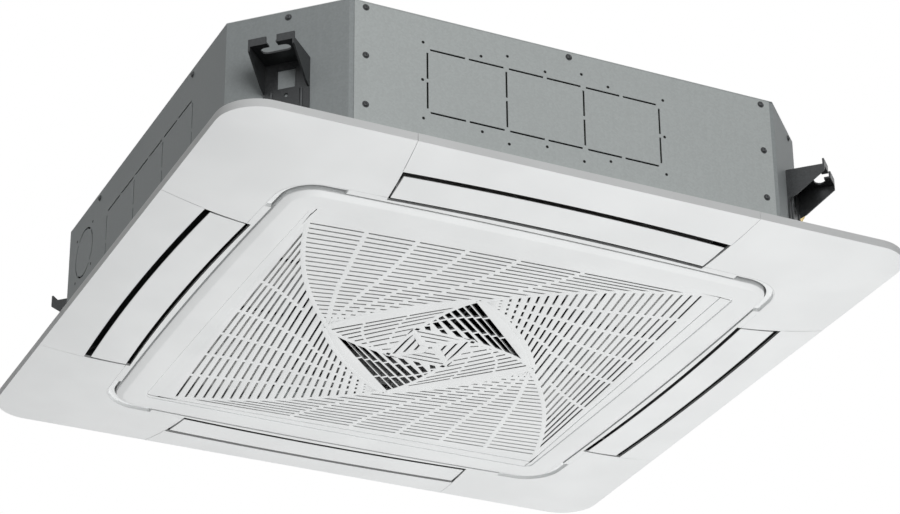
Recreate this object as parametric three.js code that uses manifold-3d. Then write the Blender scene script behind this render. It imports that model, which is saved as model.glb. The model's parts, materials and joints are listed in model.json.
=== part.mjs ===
// Ceiling cassette air conditioner: a square indoor unit that hangs from four rods above a
// false ceiling, draws room air up through the middle of its panel and blows it out on four
// sides. Millimetres, +Z up. The origin is in the middle of the unit, on the plane of its
// lowest face, so the room is below z = 0. -Y is the front, +X the side the pipes leave by.
import * as THREE from "three";
import { mergeVertices } from "three/addons/utils/BufferGeometryUtils.js";
import Module from "manifold-3d";

// ---- Driving dimensions ----
const GAP = 0.3; // clearance between pieces that touch
const SHEET = 1.2; // galvanised steel sheet

// Casing
const BODY_HALF = 420;
const BODY_CHAMFER = 118; // how far each upright corner is cut back
const CEILING = 29; // back of the panel, level with the ceiling's underside
const SEAL_THICK = 3;
const BODY_BOTTOM = CEILING + SEAL_THICK;
const BODY_TOP = 236;
const RETURN = 17; // how far the folded side plates reach behind the flat ones
const RECESS_DEPTH = 39; // the casing steps in by this where the pipes come out
const RECESS_X = BODY_HALF - RECESS_DEPTH;
const RECESS_END = 220 - BODY_HALF;
const KNOCKOUT_PITCH = 109.2;
const KNOCKOUT_BOTTOM = 97.4;
const KNOCKOUT_TOP = 188;
const SLIT = 2.6;
const BRIDGE = 5;
const DUCT_Y = 235.6;
const DUCT_Z = 170.8;
const DUCT_R = 37;

// Decoration panel
const PANEL_OVERHANG = 55; // the panel stands this far past the casing
const PANEL_HALF = BODY_HALF + PANEL_OVERHANG;
const PANEL_CORNER = 55;
const PANEL_WALL = 3;
const LIP_BOTTOM = 18; // where the sloping face meets the outer lip
const COVER_STEP = PANEL_WALL + GAP;
const GROOVE_WIDTH = 8;
const COVER_EDGE = 10; // the covers start this far outside the opening
const GROOVE_TOP = 9;
const BOLT_PLACE = BODY_HALF - 70;
const BOLT_R = 2.9;
const BOLT_HEAD_R = 6;

// Hanger brackets
const BRACKET_WIDTH = 61;
const BRACKET_STEEL = 2.5;
const BRACKET_BOTTOM = 60;
const TAB_TOP = 161;
const TAB_REACH = 52;
const SLOT_LENGTH = 39;
const ROD_SLOT = 14;
const SLOT_PLACE = 36; // middle of the rod slot, out from the casing
const SLOT_ENTRY = 12;
const TAB_LIP = 8;

// Air outlets and vanes
const OUTLET_WIDTH = 64;
const OUTLET_OUTER = BODY_HALF + 1;
const OUTLET_INNER = OUTLET_OUTER - OUTLET_WIDTH; // middle of the inner edge; its ends lie OUTLET_BOW nearer the middle
const OUTLET_BOW = 7;
const OUTLET_SPREAD = 7; // its outer edge is longer than its inner one by this at each end
const OUTLET_END_INNER = BODY_HALF - 198; // half length along the inner edge
const OUTLET_END_OUTER = OUTLET_END_INNER + OUTLET_SPREAD;
const COVER_SPLIT = OUTLET_END_OUTER + 8; // the corner covers start here
const DUCT_BEND_Z = 15; // above here the outlet narrows
const DUCT_TOP_WIDTH = 45;
const DUCT_TOP_OUTER = BODY_HALF - 22;
const DUCT_TOP_INNER = DUCT_TOP_OUTER - DUCT_TOP_WIDTH;
const VANE_GAP_INNER = 4;
const VANE_GAP_OUTER = 4.5;
const VANE_GAP_END = 1.6;
const VANE_THICK = 3.2;
const VANE_PIVOT = OUTLET_OUTER - 40;
const VANE_PIVOT_Z = 15.5;
const VANE_PIN_R = 2.6;
const VANE_EAR_R = 4.5;
const VANE_EAR_X = OUTLET_END_INNER - 3;
const STEPPER_R = 8;
const STEPPER_LENGTH = 16;
const STEPPER_LIFT = 5.3; // its shaft sits below its middle
const STEPPER_FACE = OUTLET_END_OUTER + 2.5;
const STEPPER_EAR = 13;

// Intake grille
const GRILLE_FROM_OUTLET = 17;
const GRILLE_HALF = OUTLET_INNER - GRILLE_FROM_OUTLET; // at the ends of a side; the sides bow out from there
const GROOVE_START = GRILLE_HALF - 70;
const GRILLE_BOW = 6;
const GRILLE_CORNER = 42;
const GRILLE_CLEARANCE = 3;
const GRILLE_EDGE_Z = 4;
const GRILLE_HEIGHT = 14;
const BORDER_WIDTH = 28.5;
const BORDER_INNER = GRILLE_HALF - BORDER_WIDTH;
const SWIRL_HALF = BORDER_INNER - 16.5;
const FIELD_Z = 2.5;
const FIELD_TOP = 6;
const OUTER_SLOTS = 22;
const INNER_SLOTS = 8;
const SLOT_WIDTH = 2.8;
const OPEN_WIDTH = 8.6; // the open gaps of two of the inner sectors
const RIB = 3;
const ARM = 3.2; // from the middle of a spiral arm to the slots beside it
const HINGE_X = -GRILLE_HALF - 3;
const HINGE_Z = 5.4;
const HINGE_Y = 160;
const HINGE_PIN_R = 1.4;
const EAR_R = 2.8;
const EAR_WIDTH = 8;
const CATCH_Y = 160;
const CATCH_TRAVEL = 7;
const CATCH_Z = 8;
const CATCH_HALF = 9;
const BUTTON_X = BORDER_INNER - 4.5;
const BUTTON_LENGTH = 13;
const TONGUE_THICK = 2.4;
const TONGUE_TIP = GRILLE_HALF + 3.6;
const FILTER_HALF = BORDER_INNER - 11.5;
const FILTER_THICK = 3.2;

// Inside
const LINER_OUT = 4.5; // the liner's distance behind the outline of the casing
const LINER_IN = 22;
const LINER_TOP_UNDER = BODY_TOP - 12;
const PAN_OUT = 3;
const PAN_TOP = 70;
const WAY_HALF = OUTLET_END_INNER + 3; // half length of the air passages through the pan
const TROUGH_FLOOR = 48;
const SUMP_FLOOR = 45;
const COIL_THICK = 35;
const COIL_OUTER = BODY_HALF - 85;
const COIL_INNER = COIL_OUTER - COIL_THICK;
const COIL_BOTTOM = 62;
const COIL_TOP = BODY_TOP - 15;
const COIL_CORNER = 75;
const COIL_END = COIL_OUTER - 120; // the coil stops here at the pipe corner
const BOX_DEPTH = 48;
const BOX_FROM_COIL = 14;
const BOX_FAR = COIL_INNER - BOX_FROM_COIL;
const BOX_NEAR = BOX_FAR - BOX_DEPTH;
const BOX_MIDDLE = BOX_FAR - BOX_DEPTH / 2;
const BOARD_CLEARANCE = 5; // from the walls of the box to its board
const BORE_FROM_BOX = 32;
const PAN_BORE = BOX_NEAR - BORE_FROM_BOX;
const THROAT_R = PAN_BORE - 14;
const FAN_R = COIL_INNER - 68;
const FAN_INLET = THROAT_R + 6;
const FAN_BOTTOM = 74;
const FAN_TOP = BODY_TOP - 28.5;
const BLADES = 7;
const BLADE_THICK = 3;
const SHAFT_R = 6;
const SHAFT_FIT = 0.05;
const MOTOR_R = 72;
const MOTOR_BOTTOM = BODY_TOP - 68;
const BOSS_BOTTOM = MOTOR_BOTTOM - 52;
const MOTOR_FLANGE_R = 95;
const BOX_HALF = 120;
const BOX_BOTTOM = 22;
const BOX_TOP = 60;
const BOARD_Z = 48;
const PUMP = [COIL_OUTER - 35, 35 - COIL_OUTER];
const FLOAT = [COIL_OUTER - 10, 63 - COIL_OUTER];
const PLUG = [COIL_OUTER - 65, 10 - COIL_OUTER];
const PIPE_X = COIL_OUTER - 10;
const GAS = { x: PIPE_X, y: 95 - COIL_OUTER, z: BODY_TOP - 46, r: 8, nut: 15 };
const LIQUID = { x: PIPE_X, y: 73 - COIL_OUTER, z: BODY_TOP - 86, r: 4.8, nut: 11 };
const DRAIN = { y: PUMP[1], z: 120, r: 9 };
const DRAIN_START = COIL_OUTER + 10;
const PIPE_END = BODY_HALF + 28;
const PIPE_HATCH = { y0: 95 - BODY_HALF, y1: 198 - BODY_HALF, z0: 100, z1: BODY_TOP - 24 };

// ---- Solids ----
const wasm = await Module();
wasm.setup();

function solidOf(geometry) {
  const bare = geometry.clone();
  bare.deleteAttribute("normal");
  bare.deleteAttribute("uv");
  const merged = mergeVertices(bare, 1e-4);
  const corner = merged.index.array;
  const kept = [];
  for (let i = 0; i < corner.length; i += 3) {
    const [a, b, c] = corner.subarray(i, i + 3);
    if (a !== b && b !== c && a !== c) kept.push(a, b, c);
  }
  return new wasm.Manifold(
    new wasm.Mesh({
      numProp: 3,
      vertProperties: new Float32Array(merged.attributes.position.array),
      triVerts: new Uint32Array(kept),
    }),
  );
}

function geometryOf(solid) {
  const mesh = solid.getMesh();
  const vertices = new Float32Array(mesh.numVert * 3);
  for (let i = 0; i < mesh.numVert; i++) {
    const start = i * mesh.numProp;
    vertices.set(mesh.vertProperties.subarray(start, start + 3), i * 3);
  }
  const flat = new THREE.BufferGeometry()
    .setAttribute("position", new THREE.BufferAttribute(vertices, 3))
    .setIndex(new THREE.BufferAttribute(new Uint32Array(mesh.triVerts), 1))
    .toNonIndexed();
  flat.computeVertexNormals();
  return flat;
}

const joined = (solids) => solids.reduce((all, one) => all.add(one));
const cutBy = (solid, tools) => solid.subtract(joined(tools));
const shifted = (solid, x, y, z) =>
  solid.transform(new THREE.Matrix4().makeTranslation(x, y, z).toArray());
const turnedBy = (solid, angle) =>
  solid.transform(new THREE.Matrix4().makeRotationZ(angle).toArray());

const QUARTERS = [0, 1, 2, 3].map((q) => (q * Math.PI) / 2);
const fourTimes = (solid) => joined(QUARTERS.map((angle) => turnedBy(solid, angle)));

const shapeOf = (points) => new THREE.Shape(points.map(([x, y]) => new THREE.Vector2(x, y)));

// Upright prisms on separate outlines, as one solid.
function prisms(outlines, z0, z1) {
  const settings = { depth: z1 - z0, bevelEnabled: false };
  return solidOf(new THREE.ExtrudeGeometry(outlines.map(shapeOf), settings).translate(0, 0, z0));
}

const prism = (points, z0, z1) => prisms([points], z0, z1);

// A prism whose upper outline is moved by a function of [x, y].
function tapered(points, z0, z1, move) {
  const settings = { depth: z1 - z0, bevelEnabled: false };
  const geometry = new THREE.ExtrudeGeometry(shapeOf(points), settings).translate(0, 0, z0);
  const place = geometry.attributes.position;
  for (let i = 0; i < place.count; i++) {
    if (place.getZ(i) < (z0 + z1) / 2) continue;
    const [x, y] = move([place.getX(i), place.getY(i)]);
    place.setXY(i, x, y);
  }
  return solidOf(geometry);
}

function block(x0, x1, y0, y1, z0, z1) {
  const geometry = new THREE.BoxGeometry(x1 - x0, y1 - y0, z1 - z0);
  return solidOf(geometry.translate((x0 + x1) / 2, (y0 + y1) / 2, (z0 + z1) / 2));
}

// A plate standing along X from x0 to x1, on outlines of [y, z].
function uprightPlates(outlines, x0, x1) {
  const settings = { depth: x1 - x0, bevelEnabled: false };
  const geometry = new THREE.ExtrudeGeometry(outlines.map(shapeOf), settings);
  const toYZ = new THREE.Matrix4().set(0, 0, 1, x0, 1, 0, 0, 0, 0, 1, 0, 0, 0, 0, 0, 1);
  return solidOf(geometry.applyMatrix4(toYZ));
}

// A piece turned about Z from a closed profile of [radius, z], given anticlockwise.
function turned(profile, facets = 28) {
  const points = [...profile, profile[0]].map(([r, z]) => new THREE.Vector2(r, z));
  return solidOf(new THREE.LatheGeometry(points, facets).rotateX(Math.PI / 2));
}

// A round bar of radius r between two points.
function bar(from, to, r, facets = 12) {
  const a = new THREE.Vector3(...from);
  const b = new THREE.Vector3(...to);
  const geometry = new THREE.CylinderGeometry(r, r, a.distanceTo(b), facets);
  const along = b.clone().sub(a).normalize();
  const turn = new THREE.Quaternion().setFromUnitVectors(new THREE.Vector3(0, 1, 0), along);
  const middle = a.clone().add(b).multiplyScalar(0.5);
  geometry.applyMatrix4(new THREE.Matrix4().compose(middle, turn, new THREE.Vector3(1, 1, 1)));
  return solidOf(geometry);
}

const disc = ([x, y], r, z0, z1, facets = 16) => bar([x, y, z0], [x, y, z1], r, facets);

// A skin through closed rings of [x, y, z] with equal counts; the last ring joins the first.
// Rings run anticlockwise seen from above, and so does the section they make, seen with the
// radius to the right and z upwards.
function lofted(rings) {
  const count = rings[0].length;
  const index = [];
  rings.forEach((ring, i) => {
    const here = i * count;
    const next = ((i + 1) % rings.length) * count;
    ring.forEach((point, j) => {
      const k = (j + 1) % count;
      index.push(here + j, here + k, next + k, here + j, next + k, next + j);
    });
  });
  const geometry = new THREE.BufferGeometry()
    .setAttribute("position", new THREE.Float32BufferAttribute(rings.flat(2), 3))
    .setIndex(index);
  return solidOf(geometry);
}

// An anticlockwise outline moved inwards by d, with mitred corners.
function inset(points, d, closed = true) {
  const n = points.length;
  const normal = (a, b) => {
    const length = Math.hypot(b[0] - a[0], b[1] - a[1]);
    return [-(b[1] - a[1]) / length, (b[0] - a[0]) / length];
  };
  return points.map((p, i) => {
    const before = closed || i > 0 ? normal(points[(i + n - 1) % n], p) : null;
    const after = closed || i < n - 1 ? normal(p, points[(i + 1) % n]) : null;
    const [m, k] = [before ?? after, after ?? before];
    const share = d / (1 + m[0] * k[0] + m[1] * k[1]);
    return [p[0] + (m[0] + k[0]) * share, p[1] + (m[1] + k[1]) * share];
  });
}

const band = (points, d0, d1, z0, z1) =>
  prism(inset(points, d0), z0, z1).subtract(prism(inset(points, d1), z0 - 1, z1 + 1));

// Sheet folded along an open line, with its thickness to the left of the line.
const folded = (points, thick, z0, z1) =>
  prism([...points, ...inset(points, thick, false).reverse()], z0, z1);

// ---- The square plan, with rounded corners and bowed sides ----
const SIDE_STEPS = 3;
const CORNER_STEPS = 4;
const quarterTurn = ([x, y]) => [-y, x];

function squarePlan(half, radius, bow = 0) {
  const straight = half - radius;
  let quarter = [];
  for (let i = 0; i < SIDE_STEPS; i++) {
    const s = (2 * i) / SIDE_STEPS - 1;
    quarter.push([s * straight, -half - bow * (1 - s * s)]);
  }
  for (let i = 0; i < CORNER_STEPS; i++) {
    const angle = ((i / CORNER_STEPS) * Math.PI) / 2;
    const x = straight + radius * Math.sin(angle);
    quarter.push([x, -straight - radius * Math.cos(angle)]);
  }
  const plan = [];
  QUARTERS.forEach(() => {
    plan.push(...quarter);
    quarter = quarter.map(quarterTurn);
  });
  return plan;
}

const raised = (plan, z) => plan.map(([x, y]) => [x, y, z]);

const OPENING_HALF = GRILLE_HALF + GRILLE_CLEARANCE;
const OPENING_CORNER = GRILLE_CORNER + GRILLE_CLEARANCE;
const roundOpening = (d) => squarePlan(OPENING_HALF + d, OPENING_CORNER + d, GRILLE_BOW);

// How far out the opening's edge lies at a place along its side.
const openingEdge = (along) =>
  OPENING_HALF + GRILLE_BOW * (1 - (along / (OPENING_HALF - OPENING_CORNER)) ** 2);

// ---- Casing ----
const CHAMFER_END = BODY_HALF - BODY_CHAMFER;
const CHAMFER_SUM = BODY_HALF + CHAMFER_END;
const RECESS_START = RECESS_X - CHAMFER_SUM;
const BODY_PLAN = [
  [-CHAMFER_END, -BODY_HALF],
  [CHAMFER_END, -BODY_HALF],
  [RECESS_X, RECESS_START],
  [RECESS_X, RECESS_END],
  [BODY_HALF, RECESS_END],
  [BODY_HALF, CHAMFER_END],
  [CHAMFER_END, BODY_HALF],
  [-CHAMFER_END, BODY_HALF],
  [-BODY_HALF, CHAMFER_END],
  [-BODY_HALF, -CHAMFER_END],
];
const SIDE_TOP = BODY_TOP - SHEET - GAP;
const SIDE_BOTTOM = BODY_BOTTOM + GAP;
const FLAT_HALF = CHAMFER_END - 5; // half length of the flat front and rear plates
const RETURN_Y = BODY_HALF - SHEET - GAP; // the returns lie just behind the flat plates
const FOLD_X = CHAMFER_SUM - RETURN_Y;

function topPan() {
  const plate = prism(BODY_PLAN, BODY_TOP - SHEET, BODY_TOP);
  const flange = band(BODY_PLAN, PAN_OUT, PAN_OUT + SHEET, BODY_TOP - 22, BODY_TOP - SHEET / 2);
  const groove = block(-150, 150, -5, 5, BODY_TOP - 0.6, BODY_TOP + 1);
  const grooves = [265, -265].map((y) => shifted(groove, 0, y, 0));
  return cutBy(plate.add(flange), grooves.flatMap((one) => [one, turnedBy(one, Math.PI / 2)]));
}

// Slits that outline a row of three rectangular knock-outs on the front side.
function knockoutRow(middle) {
  const left = middle - 1.5 * KNOCKOUT_PITCH;
  const half = SLIT / 2;
  const run = (KNOCKOUT_PITCH - 2 * BRIDGE - SLIT) / 2;
  const rise = (KNOCKOUT_TOP - KNOCKOUT_BOTTOM - 3 * BRIDGE) / 2;
  const slits = [];
  const slit = (x0, x1, z0, z1) =>
    slits.push(block(x0, x1, -BODY_HALF - 5, -BODY_HALF + 5, z0, z1));
  for (let i = 0; i < 3; i++)
    for (const z of [KNOCKOUT_BOTTOM, KNOCKOUT_TOP])
      for (const part of [0, 1]) {
        const start = left + i * KNOCKOUT_PITCH + half + BRIDGE / 2 + part * (run + BRIDGE);
        slit(start, start + run, z - half, z + half);
      }
  for (let i = 0; i < 4; i++)
    for (const part of [0, 1]) {
      const x = left + i * KNOCKOUT_PITCH;
      const bottom = KNOCKOUT_BOTTOM + BRIDGE + part * (rise + BRIDGE);
      slit(x - half, x + half, bottom, bottom + rise);
    }
  return joined(slits);
}

// Four arc slits that outline the round duct knock-out in the left side.
function ductSlits() {
  const span = Math.PI / 2 - BRIDGE / DUCT_R;
  const steps = 4;
  const arcs = QUARTERS.map((start) => {
    const arc = (r) =>
      Array.from({ length: steps + 1 }, (_, i) => {
        const angle = start - span / 2 + (span * i) / steps;
        return [DUCT_Y + r * Math.cos(angle), DUCT_Z + r * Math.sin(angle)];
      });
    return [...arc(DUCT_R), ...arc(DUCT_R - SLIT).reverse()];
  });
  return uprightPlates(arcs, -BODY_HALF - 5, -BODY_HALF + 5);
}

const flatPlate = () =>
  block(-FLAT_HALF, FLAT_HALF, -BODY_HALF, SHEET - BODY_HALF, SIDE_BOTTOM, SIDE_TOP);

function leftPlate() {
  const line = [
    [RETURN - FOLD_X, RETURN_Y],
    [-FOLD_X, RETURN_Y],
    [-BODY_HALF, CHAMFER_END],
    [-BODY_HALF, -CHAMFER_END],
    [-FOLD_X, -RETURN_Y],
    [RETURN - FOLD_X, -RETURN_Y],
  ];
  const row = turnedBy(knockoutRow(22.3), -Math.PI / 2);
  return cutBy(folded(line, SHEET, SIDE_BOTTOM, SIDE_TOP), [row, ductSlits()]);
}

function rightPlate() {
  const line = [
    [FOLD_X - RETURN, -RETURN_Y],
    [FOLD_X, -RETURN_Y],
    [RECESS_X, RECESS_START],
    [RECESS_X, RECESS_END],
    [BODY_HALF, RECESS_END],
    [BODY_HALF, CHAMFER_END],
    [FOLD_X, RETURN_Y],
    [FOLD_X - RETURN, RETURN_Y],
  ];
  const { y0, y1, z0, z1 } = PIPE_HATCH;
  const hatch = block(RECESS_X - 5, RECESS_X + 5, y0, y1, z0, z1);
  return folded(line, SHEET, SIDE_BOTTOM, SIDE_TOP).subtract(hatch);
}

function pipeBores(extra, x0, x1) {
  const bores = [GAS, LIQUID, DRAIN].map(({ y, z, r }) => bar([x0, y, z], [x1, y, z], r + extra));
  return joined(bores);
}

function pipeCover() {
  const { y0, y1, z0, z1 } = PIPE_HATCH;
  const x = RECESS_X + GAP;
  const plate = block(x, x + SHEET, y0 - 7, y1 + 7, z0 - 7, z1 + 7);
  return plate.subtract(pipeBores(GAP, x - 5, x + 5));
}

// A hanger bracket on a chamfer that faces -Y.
function hangerBracket() {
  const back = -CHAMFER_SUM / Math.SQRT2 - GAP;
  const front = back - BRACKET_STEEL;
  const half = BRACKET_WIDTH / 2;
  const tip = back - TAB_REACH;
  const plate = block(-half, half, front, back, BRACKET_BOTTOM, TAB_TOP);
  const tab = block(-half, half, tip, front + 1, TAB_TOP - BRACKET_STEEL, TAB_TOP);
  const beads = [-20, 20].map((x) =>
    bar([x, front, BRACKET_BOTTOM + 8], [x, front, 118], 2.2, 6),
  );
  const cheek = [
    [front + 1, TAB_TOP - 1],
    [tip, TAB_TOP - 1],
    [tip, TAB_TOP - 9],
    [front - 9, 122],
    [front + 1, 118],
  ];
  const cheeks = [-half, half - BRACKET_STEEL].map((x) =>
    uprightPlates([cheek], x, x + BRACKET_STEEL),
  );
  const lip = (x0, x1) =>
    block(x0, x1, tip, tip + BRACKET_STEEL, TAB_TOP - 1, TAB_TOP + TAB_LIP);
  const lips = [lip(-half, -SLOT_ENTRY / 2 - 1), lip(SLOT_ENTRY / 2 + 1, half)];
  const y = back - SLOT_PLACE;
  const reach = (SLOT_LENGTH - ROD_SLOT) / 2;
  const [z0, z1] = [TAB_TOP - 10, TAB_TOP + 12];
  return cutBy(joined([plate, tab, ...beads, ...cheeks, ...lips]), [
    block(-reach, reach, y - ROD_SLOT / 2, y + ROD_SLOT / 2, z0, z1),
    disc([-reach, y], ROD_SLOT / 2, z0, z1, 12),
    disc([reach, y], ROD_SLOT / 2, z0, z1, 12),
    block(-SLOT_ENTRY / 2, SLOT_ENTRY / 2, tip - 1, y, z0, z1),
    block(-12, 12, front - 8, back + 1, 122, 149),
    bar([0, front - 8, 112], [0, back + 1, 112], 3, 8),
    block(-9, 9, front - 8, back + 1, 76, 84),
  ]);
}

function insulationLiner() {
  const cavity = prism(inset(BODY_PLAN, LINER_IN), 0, LINER_TOP_UNDER);
  return cutBy(prism(inset(BODY_PLAN, LINER_OUT), PAN_TOP + GAP, SIDE_TOP), [
    cavity,
    disc([0, 0], MOTOR_FLANGE_R + 2, BODY_TOP - 36, BODY_TOP, 28),
    pipeBores(GAP, COIL_OUTER + 5, BODY_HALF - 30),
  ]);
}

// ---- Decoration panel ----
// A ring of the panel: share 0 at the intake opening, 1 at the outer lip.
function panelRing(share, z, grown = 0) {
  const half = OPENING_HALF + (PANEL_HALF - OPENING_HALF) * share + grown;
  const radius = OPENING_CORNER + (PANEL_CORNER - OPENING_CORNER) * share;
  return raised(squarePlan(half, radius, GRILLE_BOW * (1 - share)), z);
}

// The face rises from the intake to the lip, slowly at first.
const faceZ = (share) =>
  GRILLE_EDGE_Z + (LIP_BOTTOM - GRILLE_EDGE_Z) * (0.25 * share + 0.75 * share ** 2);
const FACE_SHARES = [0.5];

// The panel's outer form up to z = top, with its skin peeled off to a depth.
function panelForm(depth, top = CEILING) {
  return lofted([
    panelRing(0, top, depth),
    panelRing(0, faceZ(0) + depth, depth),
    ...FACE_SHARES.map((share) => panelRing(share, faceZ(share) + depth)),
    panelRing(1, LIP_BOTTOM + depth, -depth),
    panelRing(1, top, -depth),
  ]);
}

const PANEL = panelForm(0);
const ABOVE = CEILING + 5;
const BELOW = -5;

// Where the front right corner cover lies, grown by d.
function coverRegion(d) {
  const near = COVER_SPLIT - d;
  const far = PANEL_HALF + 5;
  const inner = prism(roundOpening(COVER_EDGE - d), BELOW - 1, ABOVE + 1);
  return block(near, far, -far, -near, BELOW, ABOVE).subtract(inner);
}

// Scooped grooves round the corners of the opening, where fingers reach the grille.
function grooveBand(width, start, z0, z1) {
  const outer = prism(roundOpening(width), z0, z1);
  const ring = outer.subtract(prism(roundOpening(-5), z0 - 1, z1 + 1));
  return ring.intersect(block(start, PANEL_HALF, -PANEL_HALF, -start, z0, z1));
}

// The outline of the front outlet, drawn in by its gaps.
function outletPlan(inner, outer, end) {
  const steps = 4;
  const edge = (y, half) =>
    Array.from({ length: steps + 1 }, (_, i) => {
      const s = (2 * i) / steps - 1;
      return [s * half, -(y - OUTLET_BOW * s * s)];
    });
  return [
    ...edge(OUTLET_OUTER - outer, OUTLET_END_OUTER - end),
    ...edge(OUTLET_INNER + inner, OUTLET_END_INNER - end).reverse(),
  ];
}

const OUTLET_NEAR = OUTLET_INNER - OUTLET_BOW;
const OUTLET_DEPTH = OUTLET_OUTER - OUTLET_NEAR;

// Above its bend an outlet narrows to the passage in the drain pan.
function narrowed([x, y]) {
  const share = (-y - OUTLET_NEAR) / OUTLET_DEPTH;
  return [x, -(DUCT_TOP_INNER + (DUCT_TOP_OUTER - DUCT_TOP_INNER) * share)];
}

function outletDuct(wall, z0, z1) {
  const plan = outletPlan(-wall, -wall, -wall);
  return prism(plan, z0, DUCT_BEND_Z).add(tapered(plan, DUCT_BEND_Z, z1, narrowed));
}

// The outer face of an outlet's end wall, at a distance y from the middle of the unit.
function endWall(y) {
  const slant = (OUTLET_END_OUTER - OUTLET_END_INNER) / OUTLET_DEPTH;
  return OUTLET_END_INNER + (y - OUTLET_NEAR) * slant + PANEL_WALL;
}

const atBolts = (r, z0, z1, facets) =>
  fourTimes(disc([BOLT_PLACE, -BOLT_PLACE], r, z0, z1, facets));

function hingeEar(y) {
  const [y0, y1] = [y - EAR_WIDTH / 2, y + EAR_WIDTH / 2];
  const root = -openingEdge(y) - 1;
  const arm = block(root, HINGE_X, y0, y1, GRILLE_EDGE_Z + GAP, HINGE_Z + EAR_R);
  const eye = bar([HINGE_X, y0, HINGE_Z], [HINGE_X, y1, HINGE_Z], EAR_R, 16);
  const [hole0, hole1] = [[HINGE_X, y0 - 1, HINGE_Z], [HINGE_X, y1 + 1, HINGE_Z]];
  return arm.add(eye).subtract(bar(hole0, hole1, HINGE_PIN_R + 0.25));
}

// Where the tongue of a grille catch slides into the wall of the opening.
function keeper(y) {
  const far = openingEdge(y) + PANEL_WALL + 1.6;
  return block(TONGUE_TIP, far, y - 7, y + 7, CATCH_Z - 1, CATCH_Z + TONGUE_THICK + 1);
}

const alongPivot = (r, x0, x1) =>
  bar([x0, -VANE_PIVOT, VANE_PIVOT_Z], [x1, -VANE_PIVOT, VANE_PIVOT_Z], r, 10);

function panelFrame() {
  const peeled = panelForm(COVER_STEP + PANEL_WALL, ABOVE);
  const skin = PANEL.subtract(panelForm(PANEL_WALL, ABOVE));
  const covers = fourTimes(coverRegion(0));
  const rims = fourTimes(coverRegion(PANEL_WALL)).subtract(covers);
  const ribs = PANEL.subtract(peeled).intersect(rims);
  const step = panelForm(COVER_STEP).subtract(peeled).intersect(fourTimes(coverRegion(1)));
  const backStart = GROOVE_START - PANEL_WALL;
  const grooveBack = grooveBand(COVER_EDGE - 0.6, backStart, 0, GROOVE_TOP + PANEL_WALL);
  const bosses = atBolts(BOLT_HEAD_R + 3.5, 9.5, CEILING, 12);
  const ducts = fourTimes(PANEL.intersect(outletDuct(PANEL_WALL, BELOW, CEILING)));
  const pieces = [
    skin.subtract(covers),
    ribs,
    step,
    fourTimes(PANEL.intersect(grooveBack)),
    ducts,
    bosses,
  ];
  const cuts = [
    fourTimes(grooveBand(GROOVE_WIDTH, GROOVE_START, BELOW, GROOVE_TOP)),
    prism(roundOpening(0), BELOW - 1, ABOVE + 1),
    fourTimes(outletDuct(0, BELOW, CEILING + 1)),
    fourTimes(alongPivot(VANE_PIN_R + 0.25, -STEPPER_FACE - 3.5, STEPPER_FACE + 3.5)),
    atBolts(BOLT_R + 0.4, 0, ABOVE, 8),
    atBolts(BOLT_HEAD_R + 0.6, 0, 13, 8),
    keeper(-CATCH_Y),
    keeper(CATCH_Y),
  ];
  return joined([cutBy(joined(pieces), cuts), hingeEar(-HINGE_Y), hingeEar(HINGE_Y)]);
}

function cornerCover() {
  return PANEL.subtract(panelForm(PANEL_WALL, ABOVE)).intersect(coverRegion(-GAP));
}

function panelBolt() {
  const place = [BOLT_PLACE, -BOLT_PLACE];
  return disc(place, BOLT_HEAD_R, 9.4, 12.7, 6).add(disc(place, BOLT_R, 12.6, 45, 8));
}

function vane() {
  const plan = outletPlan(VANE_GAP_INNER, VANE_GAP_OUTER, VANE_GAP_END);
  const skin = PANEL.subtract(panelForm(VANE_THICK, ABOVE));
  const blade = skin.intersect(prism(plan, BELOW, CEILING));
  const earEnd = VANE_EAR_X + 3.5;
  const [y, z] = [-VANE_PIVOT, VANE_PIVOT_Z];
  const ears = [[-earEnd, -VANE_EAR_X], [VANE_EAR_X, earEnd]].map(([x0, x1]) =>
    block(x0, x1, y - VANE_EAR_R, y + VANE_EAR_R, 8, z).add(
      bar([x0, y, z], [x1, y, z], VANE_EAR_R, 10),
    ),
  );
  const pins = [
    alongPivot(VANE_PIN_R, VANE_EAR_X, STEPPER_FACE + 2.5),
    alongPivot(VANE_PIN_R, -endWall(VANE_PIVOT), -VANE_EAR_X),
  ];
  return joined([blade, ...ears, ...pins]);
}

function vaneMotor() {
  const face = STEPPER_FACE;
  const back = face + STEPPER_LENGTH;
  const [y, z] = [-VANE_PIVOT, VANE_PIVOT_Z];
  const middle = z + STEPPER_LIFT;
  const can = bar([face, y, middle], [back, y, middle], STEPPER_R, 12);
  const [y0, y1] = [y - STEPPER_EAR, y + STEPPER_EAR];
  const ears = block(face, face + 1.5, y0, y1, middle - 3, middle + 3);
  const nose = alongPivot(VANE_PIN_R + 1.6, face, face + 2);
  const plug = block(back - 5, back - 1, y - 11, y, middle, middle + 6);
  const bore = alongPivot(VANE_PIN_R + 0.25, face - 31.5, face + 3);
  return joined([can, ears, nose, plug]).subtract(bore);
}

function airSeal() {
  const body = prism(inset(BODY_PLAN, PAN_OUT), 0, ABOVE);
  const seal = prism(squarePlan(BODY_HALF - 16, 60), CEILING + GAP, BODY_BOTTOM).intersect(body);
  const way = prism(outletPlan(0, 0, 0).map(narrowed), 0, ABOVE);
  const opening = prism(roundOpening(0), 0, ABOVE);
  return cutBy(seal, [opening, fourTimes(way), atBolts(BOLT_R + 0.6, 0, ABOVE, 12)]);
}

// ---- Inside ----
function coilRing(grown, z0, z1) {
  const innerCorner = COIL_CORNER - COIL_OUTER + COIL_INNER;
  const outer = prism(squarePlan(COIL_OUTER + grown, COIL_CORNER + grown), z0, z1);
  return outer.subtract(prism(squarePlan(COIL_INNER - grown, innerCorner - grown), z0 - 1, z1 + 1));
}

function heatExchanger() {
  const open = block(COIL_END, PANEL_HALF, -PANEL_HALF, -COIL_END, 0, BODY_TOP);
  return coilRing(0, COIL_BOTTOM, COIL_TOP).subtract(open);
}

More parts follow.
